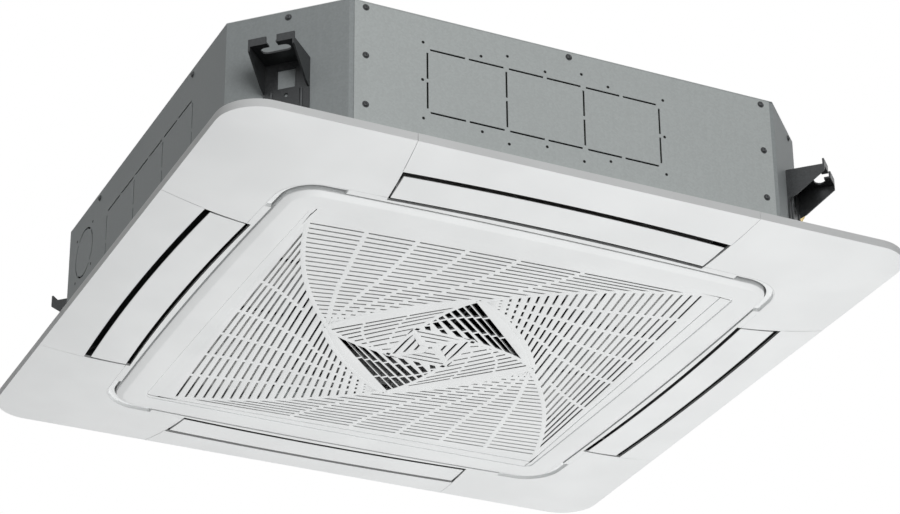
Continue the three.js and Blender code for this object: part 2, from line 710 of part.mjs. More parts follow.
// The end plate on the front leg of the coil, with the return bends of its tubes.
function coilEndPlate() {
  const x = COIL_END + GAP;
  const plate = block(x, x + SHEET, -COIL_OUTER - 2, -COIL_INNER + 2, COIL_BOTTOM, COIL_TOP);
  const bends = [COIL_BOTTOM + 14, LIQUID.z - 38, LIQUID.z + 10].map((z) => {
    const y = -COIL_INNER - 24;
    const out = x + 10;
    return joined([
      bar([x, y, z], [out, y, z], 3.6, 6),
      bar([x, y, z + 18], [out, y, z + 18], 3.6, 6),
      bar([out - 3, y, z - 2], [out - 3, y, z + 20], 3.1, 6),
    ]);
  });
  return joined([plate, ...bends]);
}

// The right leg's end plate is the front leg's, mirrored across the corner's diagonal.
function coilEndPlateRight() {
  const swap = new THREE.Matrix4().set(0, -1, 0, 0, -1, 0, 0, 0, 0, 0, 1, 0, 0, 0, 0, 1);
  return coilEndPlate().transform(swap.toArray());
}

function closingPlate() {
  const near = COIL_END + 3;
  const far = COIL_INNER + 2;
  return folded([[near, -far], [far, -near]], SHEET, PAN_TOP + GAP, COIL_TOP);
}

function drainPan() {
  const over = PAN_TOP + 1;
  const way = block(-WAY_HALF, WAY_HALF, -DUCT_TOP_OUTER, -DUCT_TOP_INNER, 0, over);
  const shortWay = block(DUCT_TOP_INNER, DUCT_TOP_OUTER - 24, -WAY_HALF, 0, 0, over);
  const rightWay = block(DUCT_TOP_INNER, DUCT_TOP_OUTER, -175, WAY_HALF, 0, over).add(shortWay);
  const half = BOX_HALF + GAP;
  const pocket = block(-half, half, BOX_NEAR - GAP, BOX_FAR + GAP, 0, BOX_TOP + GAP);
  return cutBy(prism(inset(BODY_PLAN, PAN_OUT), SIDE_BOTTOM, PAN_TOP), [
    disc([0, 0], PAN_BORE, 0, over, 28),
    way,
    turnedBy(way, Math.PI),
    turnedBy(way, -Math.PI / 2),
    rightWay,
    coilRing(3, COIL_BOTTOM - GAP, over),
    coilRing(-6, TROUGH_FLOOR, over),
    block(COIL_OUTER - 85, COIL_OUTER + 11, -COIL_OUTER - 11, 85 - COIL_OUTER, SUMP_FLOOR, over),
    pocket,
    disc(PLUG, 8 + GAP, 0, over),
    atBolts(BOLT_R + 0.3, 0, 46, 12),
  ]);
}

function drainPlug() {
  const under = SIDE_BOTTOM - GAP;
  return disc(PLUG, 11, under - 2.6, under).add(disc(PLUG, 8, under - 1, SUMP_FLOOR + 3));
}

function bellMouth() {
  const r = THROAT_R;
  const under = SIDE_BOTTOM - GAP;
  return turned([
    [r, FAN_BOTTOM + 3],
    [r, under + 24],
    [r + 2, under + 12],
    [r + 7, under + 2],
    [r + 14, under - 3],
    [BOX_NEAR - 2, under - 3],
    [BOX_NEAR - 2, under],
    [PAN_BORE - 0.9, under],
    [r + 10, 36],
    [r + 5, 45.5],
    [r + 2.5, 56.5],
    [r + 2.5, FAN_BOTTOM + 3],
  ]);
}

function turbofan() {
  const bore = SHAFT_R + SHAFT_FIT;
  const low = MOTOR_BOTTOM;
  const hub = turned([
    [bore, BOSS_BOTTOM],
    [18, BOSS_BOTTOM],
    [18, low - 39],
    [40, low - 37.5],
    [78, low - 13],
    [86, low - 3],
    [105, FAN_TOP - 3],
    [FAN_R, FAN_TOP - 3],
    [FAN_R, FAN_TOP],
    [102, FAN_TOP],
    [83, low - 1.5],
    [76, low - 9.5],
    [39, low - 34.5],
    [18, low - 36],
    [18, low - 28],
    [bore, low - 28],
  ]);
  const shroud = turned([
    [FAN_INLET, FAN_BOTTOM],
    [FAN_INLET + 2.5, FAN_BOTTOM],
    [FAN_INLET + 5, FAN_BOTTOM + 10],
    [FAN_INLET + 14, FAN_BOTTOM + 23],
    [FAN_R, FAN_BOTTOM + 34],
    [FAN_R, FAN_BOTTOM + 37],
    [FAN_INLET + 12.5, FAN_BOTTOM + 26],
    [FAN_INLET + 2.3, FAN_BOTTOM + 12.5],
    [FAN_INLET, FAN_BOTTOM + 3],
  ]);
  const bladeSpace = turned([
    [FAN_INLET + 1, FAN_BOTTOM + 2],
    [FAN_INLET + 3.5, FAN_BOTTOM + 11],
    [FAN_INLET + 13, FAN_BOTTOM + 24.5],
    [FAN_R, FAN_BOTTOM + 35.5],
    [FAN_R, FAN_TOP - 2],
    [138, FAN_TOP - 2],
    [150, low - 28],
  ]);
  // Each blade leans back as it runs out.
  const line = [0, 1, 2, 3, 4].map((i) => {
    const share = i / 4;
    const r = 134 + (FAN_R + 2 - 134) * share;
    const angle = 0.75 * share ** 1.2;
    return [r * Math.cos(angle), r * Math.sin(angle)];
  });
  const blade = folded(line, BLADE_THICK, FAN_BOTTOM - 4, FAN_TOP);
  const turns = Array.from({ length: BLADES }, (_, i) => (2 * Math.PI * i) / BLADES);
  const blades = joined(turns.map((angle) => turnedBy(blade, angle)));
  return joined([hub, shroud, blades.intersect(bladeSpace)]);
}

const motorShaft = () => disc([0, 0], SHAFT_R, BOSS_BOTTOM - 12, MOTOR_BOTTOM + 32, 28);

function fanNut() {
  const bore = disc([0, 0], SHAFT_R + SHAFT_FIT, BOSS_BOTTOM - 26, BOSS_BOTTOM + 14, 28);
  const top = BOSS_BOTTOM - GAP;
  return disc([0, 0], 11, BOSS_BOTTOM - 10, top - 1, 6).add(disc([0, 0], 13, top - 1.5, top)).subtract(bore);
}

function fanMotor() {
  const ledge = SIDE_TOP - 3.3;
  return turned([
    [SHAFT_R + 0.25, MOTOR_BOTTOM],
    [MOTOR_R - 6, MOTOR_BOTTOM],
    [MOTOR_R, MOTOR_BOTTOM + 6],
    [MOTOR_R, ledge],
    [MOTOR_FLANGE_R, ledge],
    [MOTOR_FLANGE_R, SIDE_TOP],
    [0, SIDE_TOP],
    [0, MOTOR_BOTTOM + 33],
    [SHAFT_R + 0.25, MOTOR_BOTTOM + 33],
  ]);
}

function controlBox() {
  const [x, y0, y1] = [BOX_HALF - SHEET, BOX_NEAR + SHEET, BOX_FAR - SHEET];
  const shell = block(-BOX_HALF, BOX_HALF, BOX_NEAR, BOX_FAR, BOX_BOTTOM, BOX_TOP).subtract(
    block(-x, x, y0, y1, 0, BOX_TOP - SHEET),
  );
  const posts = [-90, 90].map((at) => disc([at, BOX_MIDDLE], 3, BOARD_Z + 1.6 + GAP, BOX_TOP - 0.5, 12));
  const wires = bar([-BOX_HALF - 1, BOX_MIDDLE, 40], [-BOX_HALF + 3, BOX_MIDDLE, 40], 9, 16);
  return joined([shell, ...posts]).subtract(wires);
}

function controlCover() {
  const top = BOX_BOTTOM - GAP;
  const plate = block(-BOX_HALF, BOX_HALF, BOX_NEAR, BOX_FAR, top - SHEET, top);
  const flanges = [BOX_NEAR + SHEET + GAP, BOX_FAR - 2 * SHEET - GAP].map((y) =>
    block(-BOX_HALF + 5, BOX_HALF - 5, y, y + SHEET, top - 0.5, top + 6),
  );
  return joined([plate, ...flanges]);
}

function circuitBoard() {
  const end = BOX_HALF - 10;
  const [near, far] = [BOX_NEAR + BOARD_CLEARANCE, BOX_FAR - BOARD_CLEARANCE];
  const board = block(-end, end, near, far, BOARD_Z, BOARD_Z + 1.6);
  const sunk = BOARD_Z + 0.5;
  const y = BOX_MIDDLE;
  return joined([
    board,
    block(-100, -70, y - 12, y + 12, 34, sunk),
    block(-58, -34, y - 14, y, 38, sunk),
    disc([-15, y], 8, 32, sunk, 16),
    block(10, 50, y - 12, y + 14, 41, sunk),
    disc([66, y], 6, 35, sunk, 16),
    block(82, 104, y - 15, y + 15, 37, sunk),
  ]);
}

function drainPump() {
  const [x, y] = PUMP;
  const feet = [0, 1, 2].map((i) => {
    const angle = (2 * Math.PI * i) / 3 + 0.5;
    const place = [x + 17 * Math.cos(angle), y + 17 * Math.sin(angle)];
    return disc(place, 2.5, SUMP_FLOOR + GAP, 96, 8);
  });
  const spout = bar([x, y, DRAIN.z], [DRAIN_START, y, DRAIN.z], 8, 16);
  const body = [disc(PUMP, 9, SUMP_FLOOR + 6, 96, 16), disc(PUMP, 22, 95, 138)];
  return joined([...body, disc(PUMP, 17, 137, 172), spout, ...feet]);
}

// The ring floats on a stem that stands in the sump.
function floatStem() {
  const [x, y] = FLOAT;
  const foot = disc(FLOAT, 6, SUMP_FLOOR + GAP, SUMP_FLOOR + 2, 16);
  const head = block(x - 7, x + 7, y - 7, y + 7, 76, 88);
  return joined([disc(FLOAT, 2, SUMP_FLOOR + GAP, 80, 12), foot, head]);
}

function floatRing() {
  const z0 = SUMP_FLOOR + 2 + GAP;
  return disc(FLOAT, 9, z0, z0 + 16, 16).subtract(disc(FLOAT, 2.25, 40, 80, 12));
}

function drainOutlet() {
  const at = (x0, x1, r) => bar([x0, DRAIN.y, DRAIN.z], [x1, DRAIN.y, DRAIN.z], r);
  const end = PIPE_END - 8;
  const body = at(DRAIN_START + GAP, end, DRAIN.r).add(at(end - 4, end, DRAIN.r + 1.5));
  return body.subtract(at(DRAIN_START + 5, end + 1, DRAIN.r - 2));
}

function pipe({ x, y, z, r }) {
  const start = -COIL_END - GAP - SHEET - GAP;
  const run = bar([x, start, z], [x, y - r, z], r);
  const out = bar([x - r, y, z], [PIPE_END, y, z], r);
  return run.add(out).subtract(bar([x + 25, y, z], [PIPE_END + 1, y, z], r - 1, 12));
}

function flareNut({ y, z, r, nut }) {
  const at = (x0, x1, radius, facets) => bar([x0, y, z], [x1, y, z], radius, facets);
  const start = PIPE_END - 18;
  const body = at(start, PIPE_END + 4, nut, 6).add(at(start - 4, start + 1, r + 3, 12));
  return body.subtract(at(start - 9, PIPE_END + 9, r + GAP, 12));
}

// ---- Intake grille ----
const bezier = (a, b, c) => (t) =>
  [0, 1].map((k) => (1 - t) ** 2 * a[k] + 2 * t * (1 - t) * b[k] + t * t * c[k]);

// The spiral arms that bound the front sector; the other sectors are quarter turns of it.
const outerArm = bezier([-SWIRL_HALF, 12 - SWIRL_HALF], [37 - SWIRL_HALF, -123], [-150, 0]);
const nextArm = (t) => quarterTurn(outerArm(t));
const diamond = bezier([0, -157], [-98, -98], [-157, 0]);
const innerArm = bezier([-3, -150], [-46, -90], [-44.5, 44.5]);
const nextInner = (t) => quarterTurn(innerArm(t));
const SLOT_RADIUS = 9500; // the slots are very slightly curved
const OUTER_RIBS = [0.45];

// The quadrilaterals that make one slot, cut into lengths by its ribs.
function slotPieces(from, to, width0, width1, ribs) {
  const [dx, dy] = [to[0] - from[0], to[1] - from[1]];
  const length = Math.hypot(dx, dy);
  const [nx, ny] = [dy / length, -dx / length];
  const sag = length ** 2 / (2 * SLOT_RADIUS);
  const at = (u, side) => {
    const off = sag * u * (1 - u) + (side * (width0 + (width1 - width0) * u)) / 2;
    return [from[0] + dx * u + nx * off, from[1] + dy * u + ny * off];
  };
  const end = ARM / length;
  const half = RIB / 2 / length;
  const stops = [end, ...ribs.flatMap((u) => [u - half, u + half]), 1 - end];
  const pieces = [];
  for (let i = 0; i < stops.length; i += 2) {
    const [u0, u1] = [stops[i], stops[i + 1]];
    if ((u1 - u0) * length > 3) pieces.push([at(u0, 1), at(u1, 1), at(u1, -1), at(u0, -1)]);
  }
  return pieces;
}

function outerSector() {
  const pieces = [];
  for (let i = 0; i < OUTER_SLOTS; i++) {
    const to = i < 12 ? nextArm(0.137 + 0.0712 * i) : diamond(0.03 + 0.086 * (i - 12));
    const ribs = OUTER_RIBS.map((u) => u * (1 + 0.02 * i)).filter((u) => u < 0.88);
    pieces.push(...slotPieces(outerArm(0.056 + 0.0404 * i), to, SLOT_WIDTH, SLOT_WIDTH, ribs));
  }
  return pieces;
}

// A fan of slots between two inner arms: wide open ones, or narrow ones between broad slats.
function innerSector(width) {
  const pieces = [];
  for (let m = 0; m < INNER_SLOTS; m++) {
    const t = 0.035 + 0.071 * m;
    const ribs = m < 4 ? [0.5] : [];
    pieces.push(...slotPieces(innerArm(t), nextInner(0.12 + 1.5 * t), width, width * 0.7, ribs));
  }
  return pieces;
}

function centreSector() {
  const pieces = [];
  for (let i = 0; i < 3; i++) {
    const [from, to] = [[-38 + 9 * i, -38 + 11 * i], [27 - 13 * i, -39 + 11 * i]];
    pieces.push(...slotPieces(from, to, SLOT_WIDTH, SLOT_WIDTH, []));
  }
  return pieces;
}

function swirlSlots() {
  const outlines = [];
  for (let q = 0; q < 4; q++) {
    const inner = innerSector(q % 2 ? SLOT_WIDTH : OPEN_WIDTH);
    const sector = [...outerSector(), ...inner, ...centreSector()];
    const place = (point) => Array(q).fill(0).reduce(quarterTurn, point);
    outlines.push(...sector.map((points) => points.map(place)));
  }
  return prisms(outlines, FIELD_Z - 1, FIELD_TOP + 1);
}

function grilleBorder() {
  const ring = (half, bow, z) =>
    raised(squarePlan(half, GRILLE_CORNER + half - GRILLE_HALF, bow), z);
  return lofted([
    ring(BORDER_INNER, 2.5, FIELD_TOP),
    ring(BORDER_INNER, 2.5, FIELD_Z),
    ring(BORDER_INNER + 2.5, 3, 0),
    ring(GRILLE_HALF - 10, 5, 0),
    ring(GRILLE_HALF, GRILLE_BOW, GRILLE_EDGE_Z),
    ring(GRILLE_HALF, GRILLE_BOW, GRILLE_HEIGHT),
    ring(GRILLE_HALF - 3, 5.6, GRILLE_HEIGHT),
    ring(GRILLE_HALF - 7, 5.2, 7.4),
  ]);
}

// The hinge ears of the panel turn in these notches, round a pin that bridges each.
function hingeNotch(y) {
  const half = EAR_WIDTH / 2 + 0.4;
  return block(HINGE_X - 17, HINGE_X + EAR_R + 0.6, y - half, y + half, -1, GRILLE_HEIGHT + 1);
}

function hingePin(y) {
  const half = EAR_WIDTH / 2 + 1.5;
  const pin = bar([HINGE_X, y - half, HINGE_Z], [HINGE_X, y + half, HINGE_Z], HINGE_PIN_R, 10);
  const cheeks = [y - half - 1.5, y + half - 1].map((y0) =>
    block(HINGE_X - 1, HINGE_X + 8, y0, y0 + 2.5, HINGE_Z - HINGE_PIN_R - 0.3, GRILLE_HEIGHT - 2),
  );
  return joined([pin, ...cheeks]);
}

// The window a catch's button slides in, and the way for its tongue through the border's wall.
function catchRoom(y) {
  const half = CATCH_HALF + GAP;
  const [x0, x1] = [BUTTON_X - 0.5, BUTTON_X + BUTTON_LENGTH + CATCH_TRAVEL + 0.5];
  const window = block(x0, x1, y - half, y + half, -1, GRILLE_HEIGHT);
  const [z0, z1] = [CATCH_Z - GAP, CATCH_Z + TONGUE_THICK + GAP];
  return window.add(block(GRILLE_HALF - 10, GRILLE_HALF + 10, y - 6 - GAP, y + 6 + GAP, z0, z1));
}

function intakeGrille() {
  const field = prism(squarePlan(BORDER_INNER + 1.5, 15, 2.5), FIELD_Z, FIELD_TOP);
  const hinges = [-HINGE_Y, HINGE_Y];
  const rooms = [-CATCH_Y, CATCH_Y].map(catchRoom);
  const cuts = [swirlSlots(), ...hinges.map(hingeNotch), ...rooms];
  return joined([cutBy(grilleBorder().add(field), cuts), ...hinges.map(hingePin)]);
}

function grilleCatch(y) {
  const [y0, y1] = [y - CATCH_HALF, y + CATCH_HALF];
  const button = block(BUTTON_X, BUTTON_X + BUTTON_LENGTH, y0, y1, 0.4, CATCH_Z + 1);
  const grip = [2.5, 5.5, 8.5].map((d) =>
    block(BUTTON_X + d, BUTTON_X + d + 1.5, y - 7, y + 7, -1, 1.2),
  );
  const plate = block(BUTTON_X - 3, BUTTON_X + 21, y0, y1, CATCH_Z, CATCH_Z + TONGUE_THICK);
  const tongue = block(BUTTON_X + BUTTON_LENGTH, TONGUE_TIP, y - 6, y + 6, CATCH_Z, CATCH_Z + TONGUE_THICK);
  return joined([cutBy(button, grip), plate, tongue]);
}

function airFilter() {
  const z0 = FIELD_TOP + GAP;
  const [count, frame, bars] = [4, 8, 3];
  const pitch = (2 * (FILTER_HALF - frame)) / count;
  const holes = [];
  for (let i = 0; i < count; i++)
    for (let j = 0; j < count; j++) {
      const [x, y] = [i, j].map((k) => frame - FILTER_HALF + pitch * k + bars / 2);
      const side = pitch - bars;
      holes.push([[x, y], [x + side, y], [x + side, y + side], [x, y + side]]);
    }
  const whole = prism(squarePlan(FILTER_HALF, 10), z0, z0 + FILTER_THICK);
  return whole.subtract(prisms(holes, z0 - 1, z0 + FILTER_THICK + 1));
}

// ---- The assembly ----
const paint = (color, roughness, metalness = 0) =>
  new THREE.MeshStandardMaterial({ color, roughness, metalness });
const white = paint(0xe9edee, 0.45);
const offWhite = paint(0xdde2e3, 0.5);
const steel = paint(0xa9b0af, 0.5, 0.6);
const zinc = paint(0x53585a, 0.45, 0.8);
const foam = paint(0xeef0ee, 0.9);
const black = paint(0x1b1c1d, 0.7);
const copper = paint(0xb87345, 0.35, 1);
const brass = paint(0xc2a24c, 0.35, 1);
const fins = paint(0x9fb4bf, 0.5, 0.6);
const board = paint(0x2f6b45, 0.6);

const group = new THREE.Group();
group.name = "ceiling_cassette";

function add(name, solid, material) {
  const mesh = new THREE.Mesh(geometryOf(solid), material);
  mesh.name = name;
  group.add(mesh);
}

const SIDES = ["front", "right", "rear", "left"];
const CORNERS = ["front_right", "rear_right", "rear_left", "front_left"];

add("top_pan", topPan(), steel);
add("side_plate_front", flatPlate().subtract(knockoutRow(-34.4)), steel);
add("side_plate_rear", turnedBy(flatPlate(), Math.PI), steel);
add("side_plate_left", leftPlate(), steel);
add("side_plate_right", rightPlate(), steel);
add("pipe_cover_plate", pipeCover(), steel);
add("insulation_liner", insulationLiner(), foam);

add("heat_exchanger", heatExchanger(), fins);
add("coil_end_plate_front", coilEndPlate(), steel);
add("coil_end_plate_right", coilEndPlateRight(), steel);
add("coil_closing_plate", closingPlate(), steel);
add("gas_pipe", pipe(GAS), copper);
add("liquid_pipe", pipe(LIQUID), copper);
add("flare_nut_gas", flareNut(GAS), brass);
add("flare_nut_liquid", flareNut(LIQUID), brass);

add("drain_pan", drainPan(), foam);
add("drain_plug", drainPlug(), black);
add("drain_pump", drainPump(), offWhite);
add("drain_outlet", drainOutlet(), offWhite);
add("float_switch", floatStem(), black);
add("float_ring", floatRing(), offWhite);

add("fan_motor", fanMotor(), zinc);
add("motor_shaft", motorShaft(), zinc);
add("turbofan", turbofan(), black);
add("fan_nut", fanNut(), zinc);
add("bell_mouth", bellMouth(), offWhite);
add("control_box", controlBox(), steel);
add("control_box_cover", controlCover(), steel);
add("circuit_board", circuitBoard(), board);

add("air_seal", airSeal(), black);
add("panel_frame", panelFrame(), white);
QUARTERS.forEach((angle, q) => {
  add("corner_cover_" + CORNERS[q], turnedBy(cornerCover(), angle), white);
  add("panel_bolt_" + CORNERS[q], turnedBy(panelBolt(), angle), zinc);
  add("hanger_bracket_" + CORNERS[q], turnedBy(hangerBracket(), angle + Math.PI / 4), zinc);
  add("vane_" + SIDES[q], turnedBy(vane(), angle), white);
  add("vane_motor_" + SIDES[q], turnedBy(vaneMotor(), angle), offWhite);
});

add("intake_grille", intakeGrille(), white);
add("air_filter", airFilter(), offWhite);
add("grille_catch_front", grilleCatch(-CATCH_Y), offWhite);
add("grille_catch_rear", grilleCatch(CATCH_Y), offWhite);

export default group;
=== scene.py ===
# %% [markdown]
# # A ceiling cassette air conditioner
# The unit hangs in a false ceiling. All that a room shows of it is a white moulded panel: a hinged intake
# grille in the middle, whose slots swirl, and a long outlet with a swinging vane on each side. Above the
# ceiling is a shallow casing of galvanised sheet with its corners cut back, where four brackets hang on
# rods. The photograph looks up at it from below, so both show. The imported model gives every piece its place
# and its movement, and this script dresses it.

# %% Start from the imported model
import json
import math
import bmesh
import bpy
import numpy as np
from mathutils import Matrix, Vector


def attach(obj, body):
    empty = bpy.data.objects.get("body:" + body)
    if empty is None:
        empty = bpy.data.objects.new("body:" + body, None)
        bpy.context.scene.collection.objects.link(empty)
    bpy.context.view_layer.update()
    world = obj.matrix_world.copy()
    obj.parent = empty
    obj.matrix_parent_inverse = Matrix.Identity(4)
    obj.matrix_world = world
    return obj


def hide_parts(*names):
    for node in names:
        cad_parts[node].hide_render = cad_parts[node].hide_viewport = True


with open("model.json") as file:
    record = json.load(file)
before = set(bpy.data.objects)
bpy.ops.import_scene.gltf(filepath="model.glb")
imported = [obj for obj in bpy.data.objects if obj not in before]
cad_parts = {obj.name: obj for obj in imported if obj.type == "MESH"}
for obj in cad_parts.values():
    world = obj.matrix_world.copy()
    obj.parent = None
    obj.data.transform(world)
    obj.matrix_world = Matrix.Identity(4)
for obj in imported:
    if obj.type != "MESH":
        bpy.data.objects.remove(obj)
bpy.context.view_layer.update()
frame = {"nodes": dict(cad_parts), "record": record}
MM = 0.001
SIDES = ["front", "right", "rear", "left"]
CORNERS = ["front_right", "rear_right", "rear_left", "front_left"]

# %% [markdown]
# ## The camera
# The straight edges of the panel and the casing gave the place of the camera: low, in front and to the
# left, 3.9 m away, with a long lens. A camera's matrix holds its right, up and backward directions, and the
# small shift moves the lens's own middle to where the photograph has it.

# %% Camera
PHOTO_WIDTH, PHOTO_HEIGHT = 900, 514
LENS_MIDDLE = (449.54, 254.54)
FOCAL_PIXELS = 2899.6
SENSOR_WIDTH = 36
EYE = (-1.49894, -3.19215, -1.72340)
RIGHT = (0.903911, -0.427618, -0.009339)
UP = (-0.192784, -0.426809, 0.883555)
BACK = (-0.381810, -0.796855, -0.468235)
lens = bpy.data.cameras.new("camera")
lens.sensor_width = SENSOR_WIDTH
lens.lens = FOCAL_PIXELS / PHOTO_WIDTH * lens.sensor_width
lens.shift_x = (PHOTO_WIDTH / 2 - LENS_MIDDLE[0]) / PHOTO_WIDTH
lens.shift_y = (LENS_MIDDLE[1] - PHOTO_HEIGHT / 2) / PHOTO_WIDTH
camera = bpy.data.objects.new("camera", lens)
rows = [(*row, place) for *row, place in zip(RIGHT, UP, BACK, EYE)]
camera.matrix_world = Matrix(rows + [(0, 0, 0, 1)])
bpy.context.scene.collection.objects.link(camera)
bpy.context.scene.camera = camera
print("lens", round(lens.lens, 2), "mm")

# %% [markdown]
# ## Shader values as numbers
# A pattern on a surface is arithmetic on coordinates. Blender does it with Math nodes, and a small class
# that wraps a socket lets the same sums be written as Python expressions. Every other node comes from one
# method, `node`.

# %% A socket that can be added and multiplied
class Wire:
    """A number that a node puts out. An operator adds the Math node of the same name."""

    def __init__(self, finish, socket):
        self.finish, self.socket = finish, socket

    def math(self, operation, *values):
        """A Math node on values and wires."""
        inputs = {str(i): value for i, value in enumerate(values)}
        return self.finish.node("ShaderNodeMath", {"operation": operation}, **inputs)

    def __add__(self, other):
        return self.math("ADD", self, other)

    def __mul__(self, other):
        return self.math("MULTIPLY", self, other)

    def wave(self):
        """The sine of the value."""
        return self.math("SINE", self)

    def within(self, low, high):
        """0 at low, 1 at high, smooth between them and level outside."""
        settings = {"interpolation_type": "SMOOTHSTEP"}
        ends = {"From Min": low, "From Max": high}
        return self.finish.node("ShaderNodeMapRange", settings, Value=self, **ends)

    __radd__, __rmul__ = __add__, __mul__


class Finish:
    """A material, and the means to wire it. Plain numbers and colours are set on the shader's own sockets."""

    def __init__(self, name, **plain):
        self.material = bpy.data.materials.new(name)
        self.material.use_nodes = True
        self.tree = self.material.node_tree
        self.shader = self.tree.nodes["Principled BSDF"]
        for socket, value in plain.items():
            self.shader.inputs[socket.replace("_", " ")].default_value = value

    def node(self, kind, settings={}, output=0, **inputs):
        """Adds a node, sets it, fills its sockets with values or wires, and returns one of its outputs."""
        made = self.tree.nodes.new(kind)
        for key, value in settings.items():
            setattr(made, key, value)
        for key, value in inputs.items():
            socket = made.inputs[int(key) if key.isdigit() else key]
            if isinstance(value, Wire):
                self.tree.links.new(value.socket, socket)
            else:
                socket.default_value = value
        return Wire(self, made.outputs[output])

    def place(self, **scaling):
        """Object coordinates in metres, the same on every piece because each sits at the origin."""
        where = self.node("ShaderNodeTexCoord", output="Object")
        return self.node("ShaderNodeMapping", Vector=where, **scaling) if scaling else where

    def axes(self):
        """The three object coordinates as wires of their own."""
        split = self.node("ShaderNodeSeparateXYZ", Vector=self.place())
        return [Wire(self, split.socket.node.outputs[i]) for i in range(3)]

    def noise(self, scale, detail=3.0, vector=None):
        """A noise value with scale lumps a metre."""
        return self.node("ShaderNodeTexNoise", Vector=vector or self.place(), Scale=scale, Detail=detail)

    def mix(self, share, first, second):
        """first where share is 0, second where it is 1; both are colours."""
        inputs = {"0": share, "6": first, "7": second}
        return self.node("ShaderNodeMix", {"data_type": "RGBA"}, output=2, **inputs)

    def feed(self, socket, wire):
        """Links a wire to one of the shader's sockets."""
        self.tree.links.new(wire.socket, self.shader.inputs[socket])
        return self

    def bump(self, height, depth, strength=1.0):
        """Leans the surface's normal as if it were height * depth metres proud."""
        lean = self.node("ShaderNodeBump", Height=height, Distance=depth, Strength=strength)
        return self.feed("Normal", lean)


def shade(level, tint=(1, 1, 1)):
    """A colour from an sRGB level from 0 to 255 and a tint."""
    s = level / 255
    linear = s / 12.92 if s <= 0.04045 else ((s + 0.055) / 1.055) ** 2.4
    return (linear * tint[0], linear * tint[1], linear * tint[2], 1)


print("a level of 128 returns", round(shade(128)[0], 3), "of the light")

# %% [markdown]
# ## The finishes
# The panel is white moulded plastic with a faint spark-eroded grain. The casing is hot-dip galvanised
# sheet: zinc freezes in flat crystals a few millimetres across, each of which returns the light a little
# differently, and handling leaves it cloudy. The plates that fold round the cut-back corners get a darker
# copy of the sheet than the flat ones, as painted shade. The brackets are thicker steel, zinc-plated and
# darker. Inside are moulded foam, fins, copper and dark plastic.

# %% White and grey moulded plastic
def moulded(name, level, tint=(0.985, 1.0, 1.0), roughness=0.38, grain=0.00004):
    """Plastic: a grain 0.6 mm across in the bump, and slow clouds of colour and gloss across the part."""
    finish = Finish(name, Specular_IOR_Level=0.25)
    clouds = finish.noise(9, 2)
    low, high = shade(level - 3, tint), shade(level + 2, tint)
    finish.feed("Base Color", finish.mix(clouds.within(0.3, 0.7), low, high))
    finish.feed("Roughness", finish.noise(60, 3) * 0.1 + (roughness - 0.05))
    return finish.bump(finish.noise(1600, 1), grain, 0.35)


white = moulded("white_plastic", 238, roughness=0.45)
grey = moulded("grey_plastic", 205, roughness=0.5)
dark = moulded("black_plastic", 52, roughness=0.55)
mesh_dark = moulded("filter_plastic", 44, roughness=0.7)
pan_foam = moulded("foam", 232, tint=(1, 1, 0.98), roughness=0.9, grain=0.0002)
rubber_and_hole_shade = moulded("rubber", 40, tint=(1, 1, 1), roughness=0.85, grain=0.0003)
board = moulded("board", 90, tint=(0.35, 1.0, 0.55), roughness=0.35)
print("finishes so far", len(bpy.data.materials))

# %% Galvanised sheet, plated steel and the other metals
def sheet_steel(name, level, tint, crystals, metal, roughness):
    """Coated steel: crystals of a few millimetres change its gloss, and slow clouds and streaks its tone."""
    finish = Finish(name, Specular_IOR_Level=0.15)
    spangle = finish.node("ShaderNodeTexVoronoi", Vector=finish.place(), Scale=crystals, output="Color")
    facet = finish.node("ShaderNodeSeparateColor", Color=spangle)
    clouds = finish.noise(3, 2)
    rubbed = finish.noise(1, 3, finish.place(Scale=(150, 150, 6)))
    tone = facet * 0.3 + clouds * 0.4 + rubbed * 0.3
    low, high = shade(level - 5, tint), shade(level + 5, tint)
    finish.feed("Base Color", finish.mix(tone.within(0.25, 0.8), low, high))
    finish.feed("Roughness", facet * 0.12 + rubbed * 0.12 + (roughness - 0.1))
    finish.shader.inputs["Metallic"].default_value = metal
    return finish.bump(finish.noise(300, 2), 0.00005, 0.3)


steel = sheet_steel("galvanised_steel", 208, (0.95, 1.01, 1.0), 420, 0.05, 0.5)
# The same sheet, darker, for the folded plates: painted shade, not a duller metal.
shaded_steel = sheet_steel("painted_shade_steel", 172, (0.94, 1.01, 1.02), 420, 0.05, 0.5)
plated = sheet_steel("zinc", 78, (0.96, 1.0, 1.03), 500, 0.7, 0.36)
copper = sheet_steel("copper", 190, (1.15, 0.62, 0.42), 90, 0.9, 0.32)
brass = sheet_steel("brass", 190, (1.1, 0.86, 0.42), 400, 0.9, 0.3)
print("finishes so far", len(bpy.data.materials))

# %% Coated aluminium fins
FIN_PITCH = 0.0032


def finned():
    """Fins as stripes in the colour and the bump: the sine of x + y, one wave for each FIN_PITCH metres.
    The dark stripes are painted shade in the gaps between the fins.
    """
    finish = Finish("fins", Metallic=0.5, Roughness=0.45)
    x, y = finish.axes()[:2]
    stripes = ((x + y) * (2 * math.pi / FIN_PITCH)).wave()
    tint = (0.95, 1, 1.04)
    # Dark stripes: painted shade between the fins.
    finish.feed("Base Color", finish.mix(stripes.within(-0.6, 0.6), shade(96, tint), shade(190, tint)))
    return finish.bump(stripes, 0.0004, 0.5)


fins = finned()
BY_SLOT = {"white_plastic": white, "grey_plastic": grey, "black_plastic": dark, "galvanised_steel": steel,
           "zinc": plated, "foam": pan_foam, "fins": fins, "copper": copper, "brass": brass,
           "rubber": rubber_and_hole_shade, "board": board}
FOLDED_PLATES = ("side_plate_left", "side_plate_right", "pipe_cover_plate")
for subpart in frame["record"]["subparts"]:
    mesh = frame["nodes"][subpart["node"]].data
    mesh.materials.clear()
    mesh.materials.append(BY_SLOT[subpart["material_slot"]].material)
frame["nodes"]["air_filter"].data.materials[0] = mesh_dark.material
# The folded plates take the darker sheet as painted shade.
for node in FOLDED_PLATES:
    frame["nodes"][node].data.materials[0] = shaded_steel.material
print("finishes", len(BY_SLOT))

